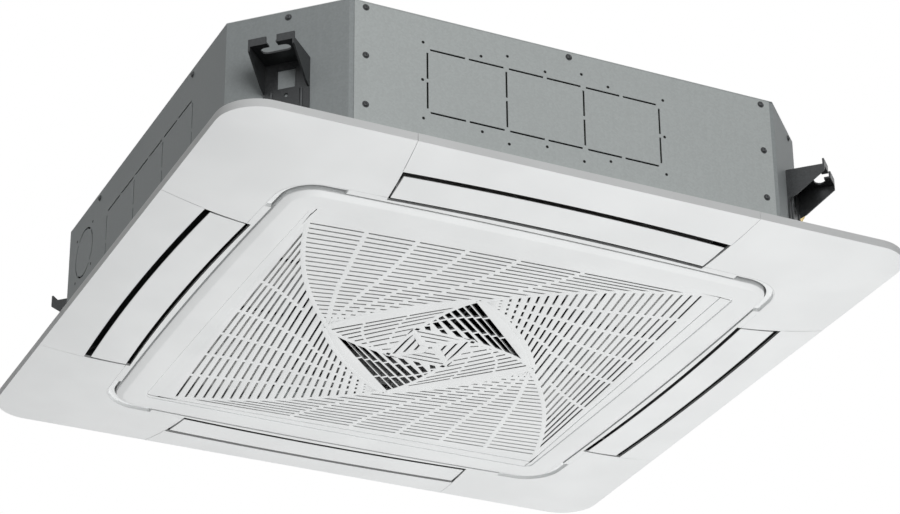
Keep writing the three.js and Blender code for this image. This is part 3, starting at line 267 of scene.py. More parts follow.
# %% [markdown]
# ## Surfaces from arrays
# Every new piece is a list of patches. A patch is a grid of points, worked out as one numpy array, and the
# faces between its rows and columns. `Shape` gathers patches in millimetres, turns them by quarter turns
# where a piece repeats on each side, and hands them to Blender in one go.

# %% Grids, bars and the pieces made of them
def grid_faces(rows, columns, wrap=False, skip=None):
    """Quads between a grid's neighbours. wrap joins the last column to the first; skip leaves cells out."""
    across = columns if wrap else columns - 1
    r, c = np.mgrid[0:rows - 1, 0:across]
    after = (c + 1) % columns
    low, high = r * columns, (r + 1) * columns
    quads = np.stack([low + c, low + after, high + after, high + c], -1)
    return quads[~skip] if skip is not None else quads.reshape(-1, 4)


def quarter(points, turns):
    """The points turned by quarter turns about +Z: (x, y) becomes (-y, x)."""
    x, y, z = np.moveaxis(np.asarray(points, float), -1, 0)
    for _ in range(turns % 4):
        x, y = -y, x
    return np.stack([x, y, z], -1)


class Shape:
    """Patches of points in millimetres and their faces."""

    def __init__(self):
        self.points, self.faces, self.count = [], [], 0

    def add(self, points, *faces):
        """Adds points, and lists of faces that count from the first of them."""
        points = np.asarray(points, float).reshape(-1, 3)
        for f in faces:
            self.faces.extend((np.asarray(f) + self.count).tolist())
        self.points.append(points)
        self.count += len(points)
        return self

    def grid(self, points, wrap=False, skip=None):
        """A sheet through a grid of points."""
        rows, columns = points.shape[:2]
        return self.add(points, grid_faces(rows, columns, wrap, skip))

    def rod(self, rings):
        """A closed bar through a stack of closed rings, with a flat cap at each end."""
        rows, columns = rings.shape[:2]
        first, last = np.arange(columns)[::-1], np.arange(columns) + (rows - 1) * columns
        return self.add(rings, grid_faces(rows, columns, True), [first], [last])

    def four(self, other, turns=range(4)):
        """Adds another shape once for each quarter turn."""
        whole = np.concatenate(other.points)
        for t in turns:
            self.points.append(quarter(whole, t))
            self.faces.extend([[i + self.count for i in f] for f in other.faces])
            self.count += len(whole)
        return self

    def mesh(self, name):
        """The whole shape as a mesh in metres."""
        made = bpy.data.meshes.new(name)
        made.from_pydata((np.concatenate(self.points) * MM).tolist(), [], self.faces)
        made.validate()
        return made


def dress(name, shape, finish, body, nodes=(), weld=True, sharp=35):
    """Makes the piece, recalculates its faces outward, smooths it except at sharp edges, and lets it ride."""
    mesh = shape.mesh(name)
    piece = bpy.data.objects.new(name, mesh)
    bpy.context.scene.collection.objects.link(piece)
    if weld:
        work = bmesh.new()
        work.from_mesh(mesh)
        bmesh.ops.remove_doubles(work, verts=work.verts, dist=1e-6)
        bmesh.ops.recalc_face_normals(work, faces=work.faces)
        work.to_mesh(mesh)
        work.free()
    mesh.shade_smooth()
    mesh.set_sharp_from_angle(angle=math.radians(sharp))
    mesh.materials.append(finish.material)
    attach(piece, body)
    if nodes:
        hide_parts(*nodes)
    return piece


def modify(piece, kind, **settings):
    """Adds a modifier with its settings."""
    added = piece.modifiers.new(kind.lower(), kind)
    for key, value in settings.items():
        setattr(added, key, value)
    return added


def thicken(piece, wall, edge=0.8, segments=3, angle=32):
    """Gives a surface its wall, inwards, and rounds its edges."""
    modify(piece, "SOLIDIFY", thickness=wall * MM, offset=-1, use_even_offset=True)
    modify(piece, "BEVEL", width=edge * MM, segments=segments, limit_method="ANGLE",
           angle_limit=math.radians(angle), harden_normals=True)
    return piece


print("a 3 by 3 grid has", len(grid_faces(3, 3)), "faces, closed round", len(grid_faces(3, 3, True)))

# %% [markdown]
# ## The form of the panel
# The panel rises from the edge of the intake towards its lip, slowly at first. Seen from below, each level
# of it is a square with rounded corners whose sides bow out a little near the intake. A share from 0 at the
# intake's edge to 1 at the lip says how far out a level is. The vanes and the corner covers continue the
# same face, so one function that finds the share of any place serves them all.

# %% The panel's face as a function of place
CEILING, OPENING, RIM = 29, 343, 475
FACE_BOTTOM, FACE_RISE = 4, 14
OPENING_RADIUS, RADIUS_GAIN = 45, 10
OPENING_BOW = 6


def level(share):
    """Half width, half straight length and bow of the level at a share."""
    half = OPENING + (RIM - OPENING) * share
    return half, half - (OPENING_RADIUS + RADIUS_GAIN * share), OPENING_BOW * (1 - share)


def outside(share, x, y):
    """How far a place lies outside a level; below zero when it is inside."""
    half, straight, bow = level(share)
    near, far = np.minimum(x, y), np.maximum(x, y)
    side = far - half - bow * (1 - (near / straight) ** 2)
    corner = np.hypot(x - straight, y - straight) - (half - straight)
    return np.where(near > straight, corner, side)


def share_at(x, y):
    """The share of a place, by halving: a place lies outside every level nearer than its own."""
    x, y = np.abs(x), np.abs(y)
    low, high = np.full_like(x, -0.1), np.full_like(x, 1.1)
    for _ in range(24):
        middle = (low + high) / 2
        beyond = outside(middle, x, y) > 0
        low, high = np.where(beyond, middle, low), np.where(beyond, high, middle)
    return (low + high) / 2


def face_z(share):
    """Height of the face: a quarter of its rise goes with the share and the rest with its square."""
    return FACE_BOTTOM + FACE_RISE * (0.25 * share + 0.75 * share ** 2)


def lifted(x, y, depth=0.0):
    """Places on the panel's face, or under its skin by a depth."""
    x, y = np.broadcast_arrays(np.asarray(x, float), np.asarray(y, float))
    return np.stack([x, y, face_z(np.clip(share_at(x, y), 0, 1)) + depth], -1)


def rounded_square(half, radius, bow=0.0, side=25, corner=10):
    """A square with rounded corners and bowed sides, anticlockwise from the front left, as x and y."""
    s = np.linspace(-1, 1, side)[:-1]
    straight = half - radius
    a = np.linspace(0, math.pi / 2, corner + 1)[:-1]
    x = np.concatenate([s * straight, straight + radius * np.sin(a)])
    y = np.concatenate([-half - bow * (1 - s ** 2), -straight - radius * np.cos(a)])
    one = np.stack([x, y, 0 * x], -1)
    return np.concatenate([quarter(one, t) for t in range(4)])[:, :2]


print("the face rises from", face_z(0.0), "to", face_z(1.0), "mm")

# %% [markdown]
# ## The intake grille
# This is the piece that the eye goes to. Four curved arms spiral in from the corners, and in each quarter
# straight slats run from one arm to the next, ever shorter. Round the middle a second set of arms turns a
# fan of slats the same way. Two of the fans are open and dark, two nearly closed. Each slat is a bar
# between the edges of two slots, so its plan is two lines, and its section is a thin plate with a narrower
# web above it. That is a surface of two parameters, and quicker and smoother than cutting more than a
# hundred slots out of a plate.

# %% Slats between two lines
FIELD_LOW, FIELD_HIGH = 2.5, 6.0
PLATE, SHOULDER = 0.5, 1.3


def bezier(a, b, c):
    """The curve (1-t)^2 a + 2t(1-t) b + t^2 c."""
    a, b, c = (np.array(p, float) for p in (a, b, c))

    def at(t):
        t = np.asarray(t, float)[..., None]
        return (1 - t) ** 2 * a + 2 * t * (1 - t) * b + t ** 2 * c

    return at


def turned_curve(curve):
    """The curve turned a quarter turn about +Z."""
    return lambda t: np.stack([-curve(t)[..., 1], curve(t)[..., 0]], -1)


def slat(a, b, low, high, edge=0.5, share=0.36):
    """A bar whose two sides follow the lines a and b: a thin plate with rounded lower edges, and above it a
    web that stands back from each side by a share of the width. So a slot is narrow at its mouth and dark
    behind it."""
    a, b = np.asarray(a, float), np.asarray(b, float)
    across = b - a
    width = np.maximum(np.linalg.norm(across, axis=-1, keepdims=True), 1e-6)
    out = across / width
    edge = np.minimum(edge, width[..., 0] * 0.25)[:, None]
    back = width * share
    turn = np.radians([0, 30, 60, 90])
    inward = np.concatenate([back, back, 0 * edge, edge * (1 - np.cos(turn))], 1)
    round_z = low + edge * (1 - np.sin(turn))
    z = np.concatenate([0 * edge + high, low + edge + SHOULDER, low + edge + PLATE, round_z], 1)
    near = a[:, None] + out[:, None] * inward[..., None]
    far = b[:, None] - out[:, None] * inward[:, ::-1, None]
    heights = np.concatenate([z, z[:, ::-1]], 1)[..., None]
    return np.concatenate([np.concatenate([near, far], 1), heights], -1)


def slot_edges(start, end, width, samples=7, sag=1 / 9500):
    """The two edges of a slot from start to end: a very flat arc, with half its width to either side."""
    start, end = np.asarray(start, float), np.asarray(end, float)
    u = np.linspace(0, 1, samples)[:, None]
    along = end - start
    length = np.hypot(*along)
    side = np.array([along[1], -along[0]]) / length
    middle = start + along * u + side * length ** 2 / 2 * sag * u * (1 - u)
    width = np.broadcast_to(np.asarray(width, float), (2,))
    half = (width[0] + (width[1] - width[0]) * u) / 2
    return middle + side * half, middle - side * half


def band(curve, half, samples, low, high):
    """A bar along a curve, half wide to either side."""
    p = curve(np.linspace(0, 1, samples))
    d = np.gradient(p, axis=0)
    side = np.stack([d[:, 1], -d[:, 0]], -1) / np.linalg.norm(d, axis=-1, keepdims=True)
    return slat(p + side * half, p - side * half, low, high)


print("the slats stand from", FIELD_LOW, "to", FIELD_HIGH, "mm")

# %% The swirl
CORNER_X, CORNER_Y = -295, -283
OUTER_ARM = bezier((CORNER_X, CORNER_Y), (-258, -123), (-150, 0))
NEXT_ARM = turned_curve(OUTER_ARM)
DIAMOND = bezier((0, -157), (-98, -98), (-157, 0))
INNER_ARM = bezier((-3, -150), (-46, -90), (-44.5, 44.5))
NEXT_INNER = turned_curve(INNER_ARM)
SLOT, CLOSED_SLOT, OPEN_SLOT = 2.8, 3.2, 8.6
RIB_LOW = FIELD_LOW + 0.05
RIB_HIGH = FIELD_HIGH - 0.2
RIB_REACH = 0.8


def line_between(first, last, samples=7):
    """Places evenly spaced from one point to another."""
    share = np.linspace(0, 1, samples)[:, None]
    return np.asarray(first) * (1 - share) + np.asarray(last) * share


def fill_between(shape, slots, first, last):
    """Slats between the slots of a sector, and from its first and last slot to its bounding lines."""
    lines = [(first, first)] + slots + [(last, last)]
    for (_, a), (b, _) in zip(lines[:-1], lines[1:]):
        shape.rod(slat(a, b, FIELD_LOW, FIELD_HIGH))


def rib_bars(shape, slots, places, half=3.3):
    """A short bar across each slot at its places, let into the slats beside it."""
    for (outer, inner), shares in zip(slots, places):
        for u in shares:
            i = u * (len(outer) - 1)
            k, f = int(i), i - int(i)
            a = outer[k] * (1 - f) + outer[k + 1] * f
            b = inner[k] * (1 - f) + inner[k + 1] * f
            along = (outer[-1] - outer[0]) / np.hypot(*(outer[-1] - outer[0]))
            reach = (a - b) / np.hypot(*(a - b)) * RIB_REACH
            left = np.array([a + reach - along * half, b - reach - along * half])
            right = np.array([a + reach + along * half, b - reach + along * half])
            shape.rod(slat(left, right, RIB_LOW, RIB_HIGH, edge=0.3, share=0.1))


OUTER_SLOTS, TO_NEXT_ARM, FAN_SLOTS = 22, 12, 8
ARM_START, ARM_STEP = 0.078, 0.0393
NEXT_START, NEXT_STEP = 0.137, 0.0712
DIAMOND_START, DIAMOND_STEP = 0.03, 0.086
FAN_START, FAN_STEP = 0.035, 0.071
RIB_PLACES = np.array([0.147, 0.277, 0.405, 0.54, 0.71])
RIB_DRIFT, LAST_RIB = 0.03, 0.9


def outer_quarter():
    """The first slots run from the arm to the next one, the rest to the bowed diamond round the middle."""
    shape, slots, ribs = Shape(), [], []
    for i in range(OUTER_SLOTS):
        if i < TO_NEXT_ARM:
            to = NEXT_ARM(NEXT_START + NEXT_STEP * i)
        else:
            to = DIAMOND(DIAMOND_START + DIAMOND_STEP * (i - TO_NEXT_ARM))
        slots.append(slot_edges(OUTER_ARM(ARM_START + ARM_STEP * i), to, SLOT))
        ribs.append([u for u in RIB_PLACES * (1 + RIB_DRIFT * i) if u < LAST_RIB])
    first = line_between(OUTER_ARM(0.0), NEXT_ARM(0.0))
    last = line_between(OUTER_ARM(1.0), DIAMOND(1.0))
    fill_between(shape, slots, first, last)
    rib_bars(shape, slots, ribs)
    return shape


def inner_quarter(open_fan):
    """Slots in a fan between two inner arms. In an open fan the gaps are wide and the slats thin."""
    shape, slots, ribs = Shape(), [], []
    width = OPEN_SLOT if open_fan else CLOSED_SLOT
    for m in range(FAN_SLOTS):
        t = FAN_START + FAN_STEP * m
        slots.append(slot_edges(INNER_ARM(t), NEXT_INNER(0.12 + 1.5 * t), (width, width * 0.7)))
        ribs.append([0.27 - 0.02 * m, 0.61] if m < FAN_SLOTS - 1 else [0.3])
    rim = turned_curve(DIAMOND)(np.linspace(1, 0, 7))
    fill_between(shape, slots, rim, line_between(INNER_ARM(0.6), NEXT_INNER(1.0)))
    rib_bars(shape, slots, ribs, 2.0)
    return shape


CENTRE_HALF = 46
TIP_LEFT, TIP_RIGHT = (-4, -3), (2, -3)
BEVEL_LOW = FIELD_LOW + 0.1


def centre_quarter():
    """A triangle of the middle square: three short slots, ever shorter, and a bar down each of its sides."""
    shape = Shape()
    starts = [(-38 + 9 * i, -38 + 11 * i) for i in range(3)]
    stops = [(27 - 13 * i, -39 + 11 * i) for i in range(3)]
    slots = [slot_edges(a, b, SLOT, 3) for a, b in zip(starts, stops)]
    first = line_between((-CENTRE_HALF, -CENTRE_HALF), (CENTRE_HALF, -CENTRE_HALF), 3)
    fill_between(shape, slots, first, line_between(TIP_LEFT, TIP_RIGHT, 3))
    diagonal = np.array([(-CENTRE_HALF, -CENTRE_HALF), (0, 0)])
    shape.rod(slat(diagonal, np.array([starts[0], (-1, -3)]) + 0.3, BEVEL_LOW, FIELD_HIGH))
    right = np.array([(CENTRE_HALF, -CENTRE_HALF), *stops, TIP_RIGHT])
    diagonal = np.array([(CENTRE_HALF, -CENTRE_HALF), (40, -40), (27, -27), (14, -14), (2, -2)])
    shape.rod(slat(right, diagonal + 0.4, BEVEL_LOW, FIELD_HIGH))
    return shape


print("slots", 4 * (OUTER_SLOTS + FAN_SLOTS + 3))

# %% The border round the slats
GRILLE_HALF, GRILLE_RADIUS = 340, 42
LEAST_RADIUS = 12
SIDE_POINTS, CORNER_POINTS = 33, 12
RING_POINTS = 4 * (SIDE_POINTS - 1 + CORNER_POINTS)
BORDER = [(299, 2.2, 6), (299, 2.2, 1.3), (299.8, 2.3, 1.3), (299.9, 2.3, 2.3), (300.7, 2.4, 2.3),
          (300.8, 2.4, 0), (330, 5, 0), (340, 6, 4), (340, 6, 14), (337, 5.6, 14), (333, 5.2, 7.4),
          (325, 4, 6.0)]
STRIP_LOW = FIELD_LOW - 1.15
LET_IN = 0.5
EDGE_POINTS, SPARE = 38, 3
ARM_HALF = 3.3


def ring_of(profile):
    """Carries a closed section round the grille: its stations are half width, bow and height. A ring's corner
    radius follows its half width, down to LEAST_RADIUS."""
    rings = []
    for half, bow, z in profile:
        radius = max(GRILLE_RADIUS + half - GRILLE_HALF, LEAST_RADIUS)
        plan = rounded_square(half, radius, bow, SIDE_POINTS, CORNER_POINTS)
        rings.append(np.column_stack([plan, np.full(RING_POINTS, z)]))
    return np.stack(rings + rings[:1], 0)


def softened(profile, radius, steps=3):
    """Rounds every corner of a closed section by a quadratic curve that starts radius before it."""
    p = np.array(profile, float)

    def toward(neighbour):
        step = neighbour - p
        length = np.maximum(np.hypot(step[:, 0], step[:, 2]), 1e-6)
        return p + step * np.minimum(radius / length, 0.45)[:, None]

    a, c = toward(np.roll(p, 1, 0)), toward(np.roll(p, -1, 0))
    t = np.linspace(0, 1, steps + 1)[None, :, None]
    curve = (1 - t) ** 2 * a[:, None] + 2 * t * (1 - t) * p[:, None] + t ** 2 * c[:, None]
    return curve.reshape(-1, 3)


def field_frame():
    """The flat strip from the border to the straight edges of the slats' field, and its walls. Each side of
    the border's plan runs along one edge of the field, with SPARE points of it left over at either end."""
    corners = np.array([quarter((CORNER_X, CORNER_Y, 0), turns)[:2] for turns in range(4)])
    half, bow = BORDER[0][0] + LET_IN, BORDER[0][1]
    plan = rounded_square(half, LEAST_RADIUS, bow, SIDE_POINTS, CORNER_POINTS)
    steps = np.arange(RING_POINTS) / (RING_POINTS / 4)
    k = steps.astype(int) % 4
    f = np.clip((steps % 1) * (RING_POINTS / 4) / EDGE_POINTS - SPARE / EDGE_POINTS, 0, 1)[:, None]
    edge = corners[k] * (1 - f) + np.roll(corners, -1, 0)[k] * f
    rings = [(plan, FIELD_HIGH), (plan, STRIP_LOW), (edge, STRIP_LOW), (edge, FIELD_HIGH), (plan, FIELD_HIGH)]
    return np.stack([np.column_stack([p, np.full(RING_POINTS, z)]) for p, z in rings])


def grille_shape():
    """The four quarters of the swirl, the arms over their ends, the border and the strip inside it."""
    shape = Shape()
    for turns in range(4):
        shape.four(outer_quarter(), [turns])
        shape.four(inner_quarter(turns % 2 == 0), [turns])
        shape.four(centre_quarter(), [turns])
    arms = Shape()
    arms.rod(band(OUTER_ARM, ARM_HALF, 30, FIELD_LOW - 0.15, FIELD_HIGH + 0.1))
    arms.rod(band(DIAMOND, ARM_HALF, 20, FIELD_LOW - 0.2, FIELD_HIGH + 0.05))
    arms.rod(band(INNER_ARM, ARM_HALF, 24, FIELD_LOW - 0.1, FIELD_HIGH + 0.1))
    shape.four(arms)
    shape.grid(ring_of(softened(BORDER, 1.0)), wrap=True)
    return shape.grid(field_frame(), wrap=True)


grille = dress("swirl_grille", grille_shape(), white, "grille", ["intake_grille"], weld=False)
print("grille faces", len(grille.data.polygons))

# %% [markdown]
# ## The decoration panel
# One moulding frames the grille, holds the four outlets and laps over the ceiling. It is the same on all
# four sides, so one side and one corner are made and turned. A side is a grid whose lines are bent to run
# along the intake's edge, the two bowed edges of the outlet and the lip; the cells inside the outlet are
# left out, and the rim of that hole carries on upward as the air passage. The grid is then lifted onto the
# panel's face. A wall thickness and rounded edges come last, from modifiers.

# %% One side of the panel, with its outlet
INNER, OUTER, BOW = 357, 421, 7
EDGE_END, INNER_END, OUTER_END = 220, 222, 229
SPLIT, STRAIGHT = 237, 298
WALL_MIDDLE, LIP_MIDDLE = 16, 24
LINING_START, THROAT_LOW, THROAT_HIGH = 3.2, 15, 18
THROAT_INNER, THROAT_WIDTH = 353, 45
BEYOND, CORNER_ROW = 4, 6


def side_line(half, place, columns=33):
    """A line of the side's grid: it spans the outlet from -half to half, and BEYOND more points at each end
    reach the split."""
    s = np.linspace(-1, 1, columns)
    beyond = np.linspace(half, SPLIT, BEYOND + 1)[1:]
    x = np.concatenate([-beyond[::-1], half * s, beyond])
    return np.stack([x, -place(x, np.clip(x / half, -1, 1))], -1)


def between(a, b, shares):
    """Lines between a and b at the given shares of the way."""
    return a + (b - a) * np.asarray(shares, float)[:, None, None]


def upright(line, *heights):
    """A wall that rises from a line, straight up through the heights."""
    flat = line * [1, 1, 0]
    return np.stack([line] + [flat + [0, 0, z] for z in heights])


def at_height(plan, z):
    """Places of a plan, all at one height."""
    return np.column_stack([plan, np.full(len(plan), float(z))])


def side_shape():
    """One side from the intake's edge to the lip, with the outlet left out, and the rings of the outlet's
    lining. The strips beyond the outlet's ends stop at CORNER_ROW, where the corner's own sheet begins."""
    shape = Shape()
    edge = side_line(EDGE_END, lambda x, s: OPENING + OPENING_BOW * (1 - (x / STRAIGHT) ** 2))
    inner = side_line(INNER_END, lambda x, s: INNER - BOW * s ** 2)
    outer = side_line(OUTER_END, lambda x, s: OUTER - BOW * s ** 2)
    rim = side_line(SPLIT - 0.3, lambda x, s: RIM + 0 * x)
    near = between(edge, inner, [0, 1 / 3, 2 / 3])
    middle = between(inner, outer, [0, 0.025, 0.0531, 0.0813, 0.25, 0.45, 0.65, 0.85, 1])
    far = between(outer, rim, np.linspace(0, 1, 11)[1:])
    plan = np.concatenate([near, middle, far])
    rows, columns = plan.shape[:2]
    first, last, left, right = len(near), len(near) + len(middle) - 1, BEYOND, columns - BEYOND - 1
    r, c = np.mgrid[0:rows - 1, 0:columns - 1]
    within = (c >= left) & (c < right)
    hole = (r >= first) & (r < last) & within | (r >= CORNER_ROW) & ~within
    face = lifted(plan[..., 0], plan[..., 1])
    shape.grid(face, skip=hole)
    shape.grid(upright(face[-1, left:right + 1], LIP_MIDDLE, CEILING))
    shape.grid(upright(face[0], WALL_MIDDLE, CEILING))
    across, ends = slice(left, right + 1), slice(first + 1, last)
    loop = np.concatenate([face[first, across], face[ends, right], face[last, across][::-1],
                           face[ends, left][::-1]])
    share = (-loop[:, 1] - (INNER - BOW)) / (OUTER - INNER + BOW)
    throat = np.stack([loop[:, 0], -(THROAT_INNER + THROAT_WIDTH * share)], -1)
    bent = loop[:, :2] * 0.8 + throat * 0.2
    above = [at_height(loop[:, :2], THROAT_LOW), at_height(bent, THROAT_HIGH), at_height(throat, CEILING)]
    shape.grid(np.stack([loop] + above), wrap=True)
    return shape, np.stack([loop + [0, 0, LINING_START]] + above)


# %% A corner: the grooved band inside, and the cover outside
LIP_STRAIGHT = 420
CORNER_SAMPLES = 17
GROOVE_END, GROOVE_EASE = 273.6, 1.2
GROOVE_OUTER, GROOVE_WALL, GROOVE_Z = 8.8, 0.8, 9.2
SEAM = 0.7
WALL = 2.6


def corner_line(half, first=SPLIT, straight=STRAIGHT, bow=OPENING_BOW):
    """A level line of the corner, half from the middle: part of a side, a quarter circle, part of a side.
    Four of its columns lie close together where the groove ends."""
    radius = half - straight
    groove = GROOVE_END + GROOVE_EASE * np.linspace(0, 1, 4)
    x = np.sort(np.concatenate([np.linspace(first, straight, CORNER_SAMPLES), groove]))
    front = np.stack([x, -straight - radius - bow * (1 - (x / STRAIGHT) ** 2)], -1)
    a = np.linspace(0, math.pi / 2, CORNER_SAMPLES)[1:-1]
    arc = np.stack([straight + radius * np.sin(a), -straight - radius * np.cos(a)], -1)
    return np.concatenate([front, arc, -front[::-1, ::-1]])


def smooth(t):
    """0 up to t = 0, 1 from t = 1, and 3t^2 - 2t^3 between."""
    t = np.clip(t, 0, 1)
    return t * t * (3 - 2 * t)


def corner_band():
    """From the intake's edge outwards, scooped to GROOVE_Z round the corner so that fingers reach the
    grille: the scoop is smooth along the line and across it."""
    distances = np.array([0, 2, 4, 6, 8, 8.4, 8.8, 10])
    plan = np.stack([corner_line(OPENING + d) for d in distances])
    face = lifted(plan[..., 0], plan[..., 1])
    along = smooth((np.minimum(plan[..., 0], -plan[..., 1]) - GROOVE_END) / GROOVE_EASE)
    scoop = smooth((GROOVE_OUTER - distances) / GROOVE_WALL)[:, None]
    face[..., 2] += (GROOVE_Z - face[..., 2]) * along * scoop
    return Shape().grid(face).grid(upright(face[0], WALL_MIDDLE, CEILING))


def corner_sheet(start, margin, depth=0.0, inset=0.0):
    """The rest of the corner, from start outside the opening to the lip and up it. Its seam slants from the
    end of the outlet to the lip."""
    near = corner_line(OPENING + start, INNER_END + SEAM + margin)
    far = corner_line(RIM - inset, SPLIT + margin, LIP_STRAIGHT, 0)
    plan = between(near, far, np.linspace(0, 1, 15) ** 0.9)
    face = lifted(plan[..., 0], plan[..., 1], depth)
    return Shape().grid(face).grid(upright(face[-1], LIP_MIDDLE, CEILING))


side, lining = side_shape()
OUTLET_MIDDLE = np.array([0, -385.0, 0])
lining = (lining - OUTLET_MIDDLE) * [0.9978, 0.992, 1] + OUTLET_MIDDLE
# A dark sheet just inside each outlet's walls: the unit's own dark lining, and dark also as painted shade
# deep in the duct.
dress("outlet_linings_and_shade", Shape().four(Shape().grid(lining, wrap=True)), dark, "unit")
bed = corner_sheet(12, 1.5, depth=4.2, inset=5)
panel_shape = Shape().four(side).four(corner_band()).four(bed)
panel = thicken(dress("panel_moulding", panel_shape, white, "unit", ["panel_frame"]), WALL, 0.9)
for turns, corner in enumerate(CORNERS):
    cover = Shape().four(corner_sheet(10.15, 0.12), [turns])
    thicken(dress("cover_" + corner, cover, white, "unit", ["corner_cover_" + corner]), WALL, 0.3)
print("panel faces", len(panel.data.polygons))

# %% [markdown]
# ## The vanes
# A vane closes its outlet flush with the panel: the same face, drawn in from the outlet's edges, with its
# own thickness. Two ears carry the pins on which its stepper motor swings it.

# %% Vanes and their pins
PIVOT_Y, PIVOT_Z = -381, 15.5
INNER_GAP, OUTER_GAP = 6.5, 8.5
INNER_END_GAP, OUTER_END_GAP = 2, 5
EAR_RADIUS, PIN_RADIUS = 4.5, 2.6
EAR_FACES = (219, 222.5)


def round_bar(start, stop, radius, facets=16, ease=0.4):
    """A bar along +X on the vane's axis, from start to stop: rings of points, with a chamfer at each end."""
    a = np.linspace(0, 2 * math.pi, facets, endpoint=False)[:, None]
    circle = np.cos(a) * [0, 1, 0] + np.sin(a) * [0, 0, 1]
    stations = [(start, radius - ease), (start + ease, radius), (stop - ease, radius), (stop, radius - ease)]
    return np.stack([np.array([x, PIVOT_Y, PIVOT_Z]) + circle * r for x, r in stations])


def vane_blade():
    """A wing section, carried along the vane: its lower side lies in the panel's face, and its thickness is
    1.1 + 2.6 sin(pi v)^0.7 mm from edge to edge, so that its edges are thin."""
    s = np.linspace(-1, 1, 41)
    inner = np.stack([(INNER_END - INNER_END_GAP) * s, -(INNER + INNER_GAP - BOW * s ** 2)], -1)
    outer = np.stack([(OUTER_END - OUTER_END_GAP) * s, -(OUTER - OUTER_GAP - BOW * s ** 2)], -1)
    v = (1 - np.cos(np.linspace(0, math.pi, 17))) / 2
    plan = between(inner, outer, v)
    lower = lifted(plan[..., 0], plan[..., 1])
    thick = 1.1 + 2.6 * np.maximum(np.sin(math.pi * v), 0) ** 0.7
    upper = lower + np.array([0, 0, 1.0]) * thick[:, None, None]
    section = np.concatenate([lower, upper[::-1]]).transpose(1, 0, 2)
    return Shape().rod(section)


def vane_hardware():
    """At each end a round ear with a web down to the blade, and the pin that turns in the panel: the longer
    one reaches its motor."""
    shape = Shape()
    near, far = EAR_FACES
    web = np.array([(PIVOT_Y - 4, 9.5), (PIVOT_Y + 4, 9.0), (PIVOT_Y + 4, PIVOT_Z), (PIVOT_Y - 4, PIVOT_Z)])
    for start, stop in [(-far, -near), (near, far)]:
        shape.rod(round_bar(start, stop, EAR_RADIUS))
        shape.rod(np.stack([np.column_stack([np.full(4, x), web]) for x in (start, stop)]))
    shape.rod(round_bar(222, 234, PIN_RADIUS, 12))
    return shape.rod(round_bar(-228.2, -222, PIN_RADIUS, 12))


for turns, side in enumerate(SIDES):
    vane = "vane_" + side
    blade = dress("blade_" + side, Shape().four(vane_blade(), [turns]), white, vane, [vane])
    modify(blade, "BEVEL", width=0.35 * MM, segments=2, limit_method="ANGLE", angle_limit=math.radians(40))
    dress("vane_pins_" + side, Shape().four(vane_hardware(), [turns]), white, vane)
print("vanes", len(SIDES), "with", len(blade.data.polygons), "faces each")

# %% [markdown]
# ## Screws and pilot holes of the casing
# The flat plates are screwed to the folded ones with small pan-head screws, and each plate has a pattern of
# pilot holes round its knock-outs, for a duct's flange. A screw is a profile turned about its axis: a domed
# head with a cone sunk in it for the driver. A pilot hole is a flat dark disc: painted shade for the dark
# inside it.

# %% Fasteners on the plates
HEAD = [(4.6, 0), (4.6, 0.5), (3.6, 0.7), (3.5, 1.3), (2.9, 2.1), (1.7, 2.5), (1.5, 2.45), (0.25, 1.1)]
PILOT = [(2.1, 0.0), (2.05, 0.12), (1.55, 0.12), (1.45, 0.02), (0.05, 0.02)]
PLATE_FACE, CHAMFER_FACE = 420, 361


def turned(profile, facets):
    """Points (r, h) of a profile, turned about +Z."""
    a = np.linspace(0, 2 * math.pi, facets, endpoint=False)
    r, h = np.array(profile, float).T[..., None]
    return np.stack([r * np.cos(a), r * np.sin(a), h + 0 * a], -1)


def stand(points, place, out):
    """Turns points from +Z to an outward direction, which is level, and puts them at a place."""
    out = np.array(out, float) / np.linalg.norm(out)
    side = np.cross([0, 0, 1.0], out)
    return points @ np.stack([side, np.cross(out, side), out]) + np.array(place, float)


# %% Screws
front_places = [(x, z) for x in (-281.7, 283.9) for z in (227.4, 158, 88)] + [(0.6, 227.4)]
seats = [((x, way * PLATE_FACE, z), (0, way, 0)) for x, z in front_places for way in (-1, 1)]
seats += [((way * PLATE_FACE, y, 227), (way, 0, 0)) for y in (-183, 176) for way in (-1, 1)]
seats += [((sx * CHAMFER_FACE, sy * CHAMFER_FACE, 226), (sx, sy, 0)) for sx in (-1, 1) for sy in (-1, 1)]
screws = Shape()
for place, out in seats:
    screws.rod(stand(turned(HEAD, 14), place, out))
dress("casing_screws", screws, plated, "unit")
print("screws", len(seats))

# %% Pilot holes
ROUND_Y, ROUND_Z, ROUND_REACH = 235.6, 170.8, 33
pilots = [(x, z) for z in (196.9, 87.4) for x in (-204, -124, -34, 56, 136)]
pilots += [(x, z) for z in (206.3, 78.6) for x in (-87, 18)] + [(-205, 142.4), (136, 142.4)]
bores = [((x, -PLATE_FACE, z), (0, -1, 0)) for x, z in pilots]
bores += [((-PLATE_FACE, ROUND_Y + dy, ROUND_Z + dz), (-1, 0, 0))
          for dy in (-ROUND_REACH, ROUND_REACH) for dz in (-ROUND_REACH, ROUND_REACH)]
holes = Shape()
for place, out in bores:
    holes.rod(stand(turned(PILOT, 12), place, out))
# The holes are dark discs in the rubber finish: painted shade for the dark inside each hole.
dress("pilot_holes", holes, rubber_and_hole_shade, "unit")
print("pilot holes", len(bores))

# %% [markdown]
# ## Light
# Soft and plain: a wide lamp under the panel lights its face, a weaker one in front lights the front plate,
# and a pale room fills the rest. The camera, and anything glossy, sees a white surround; the object itself
# is lit at a plain level, at which a colour renders about as it is written.

# %% The room
ROOM_LIGHT = 0.13


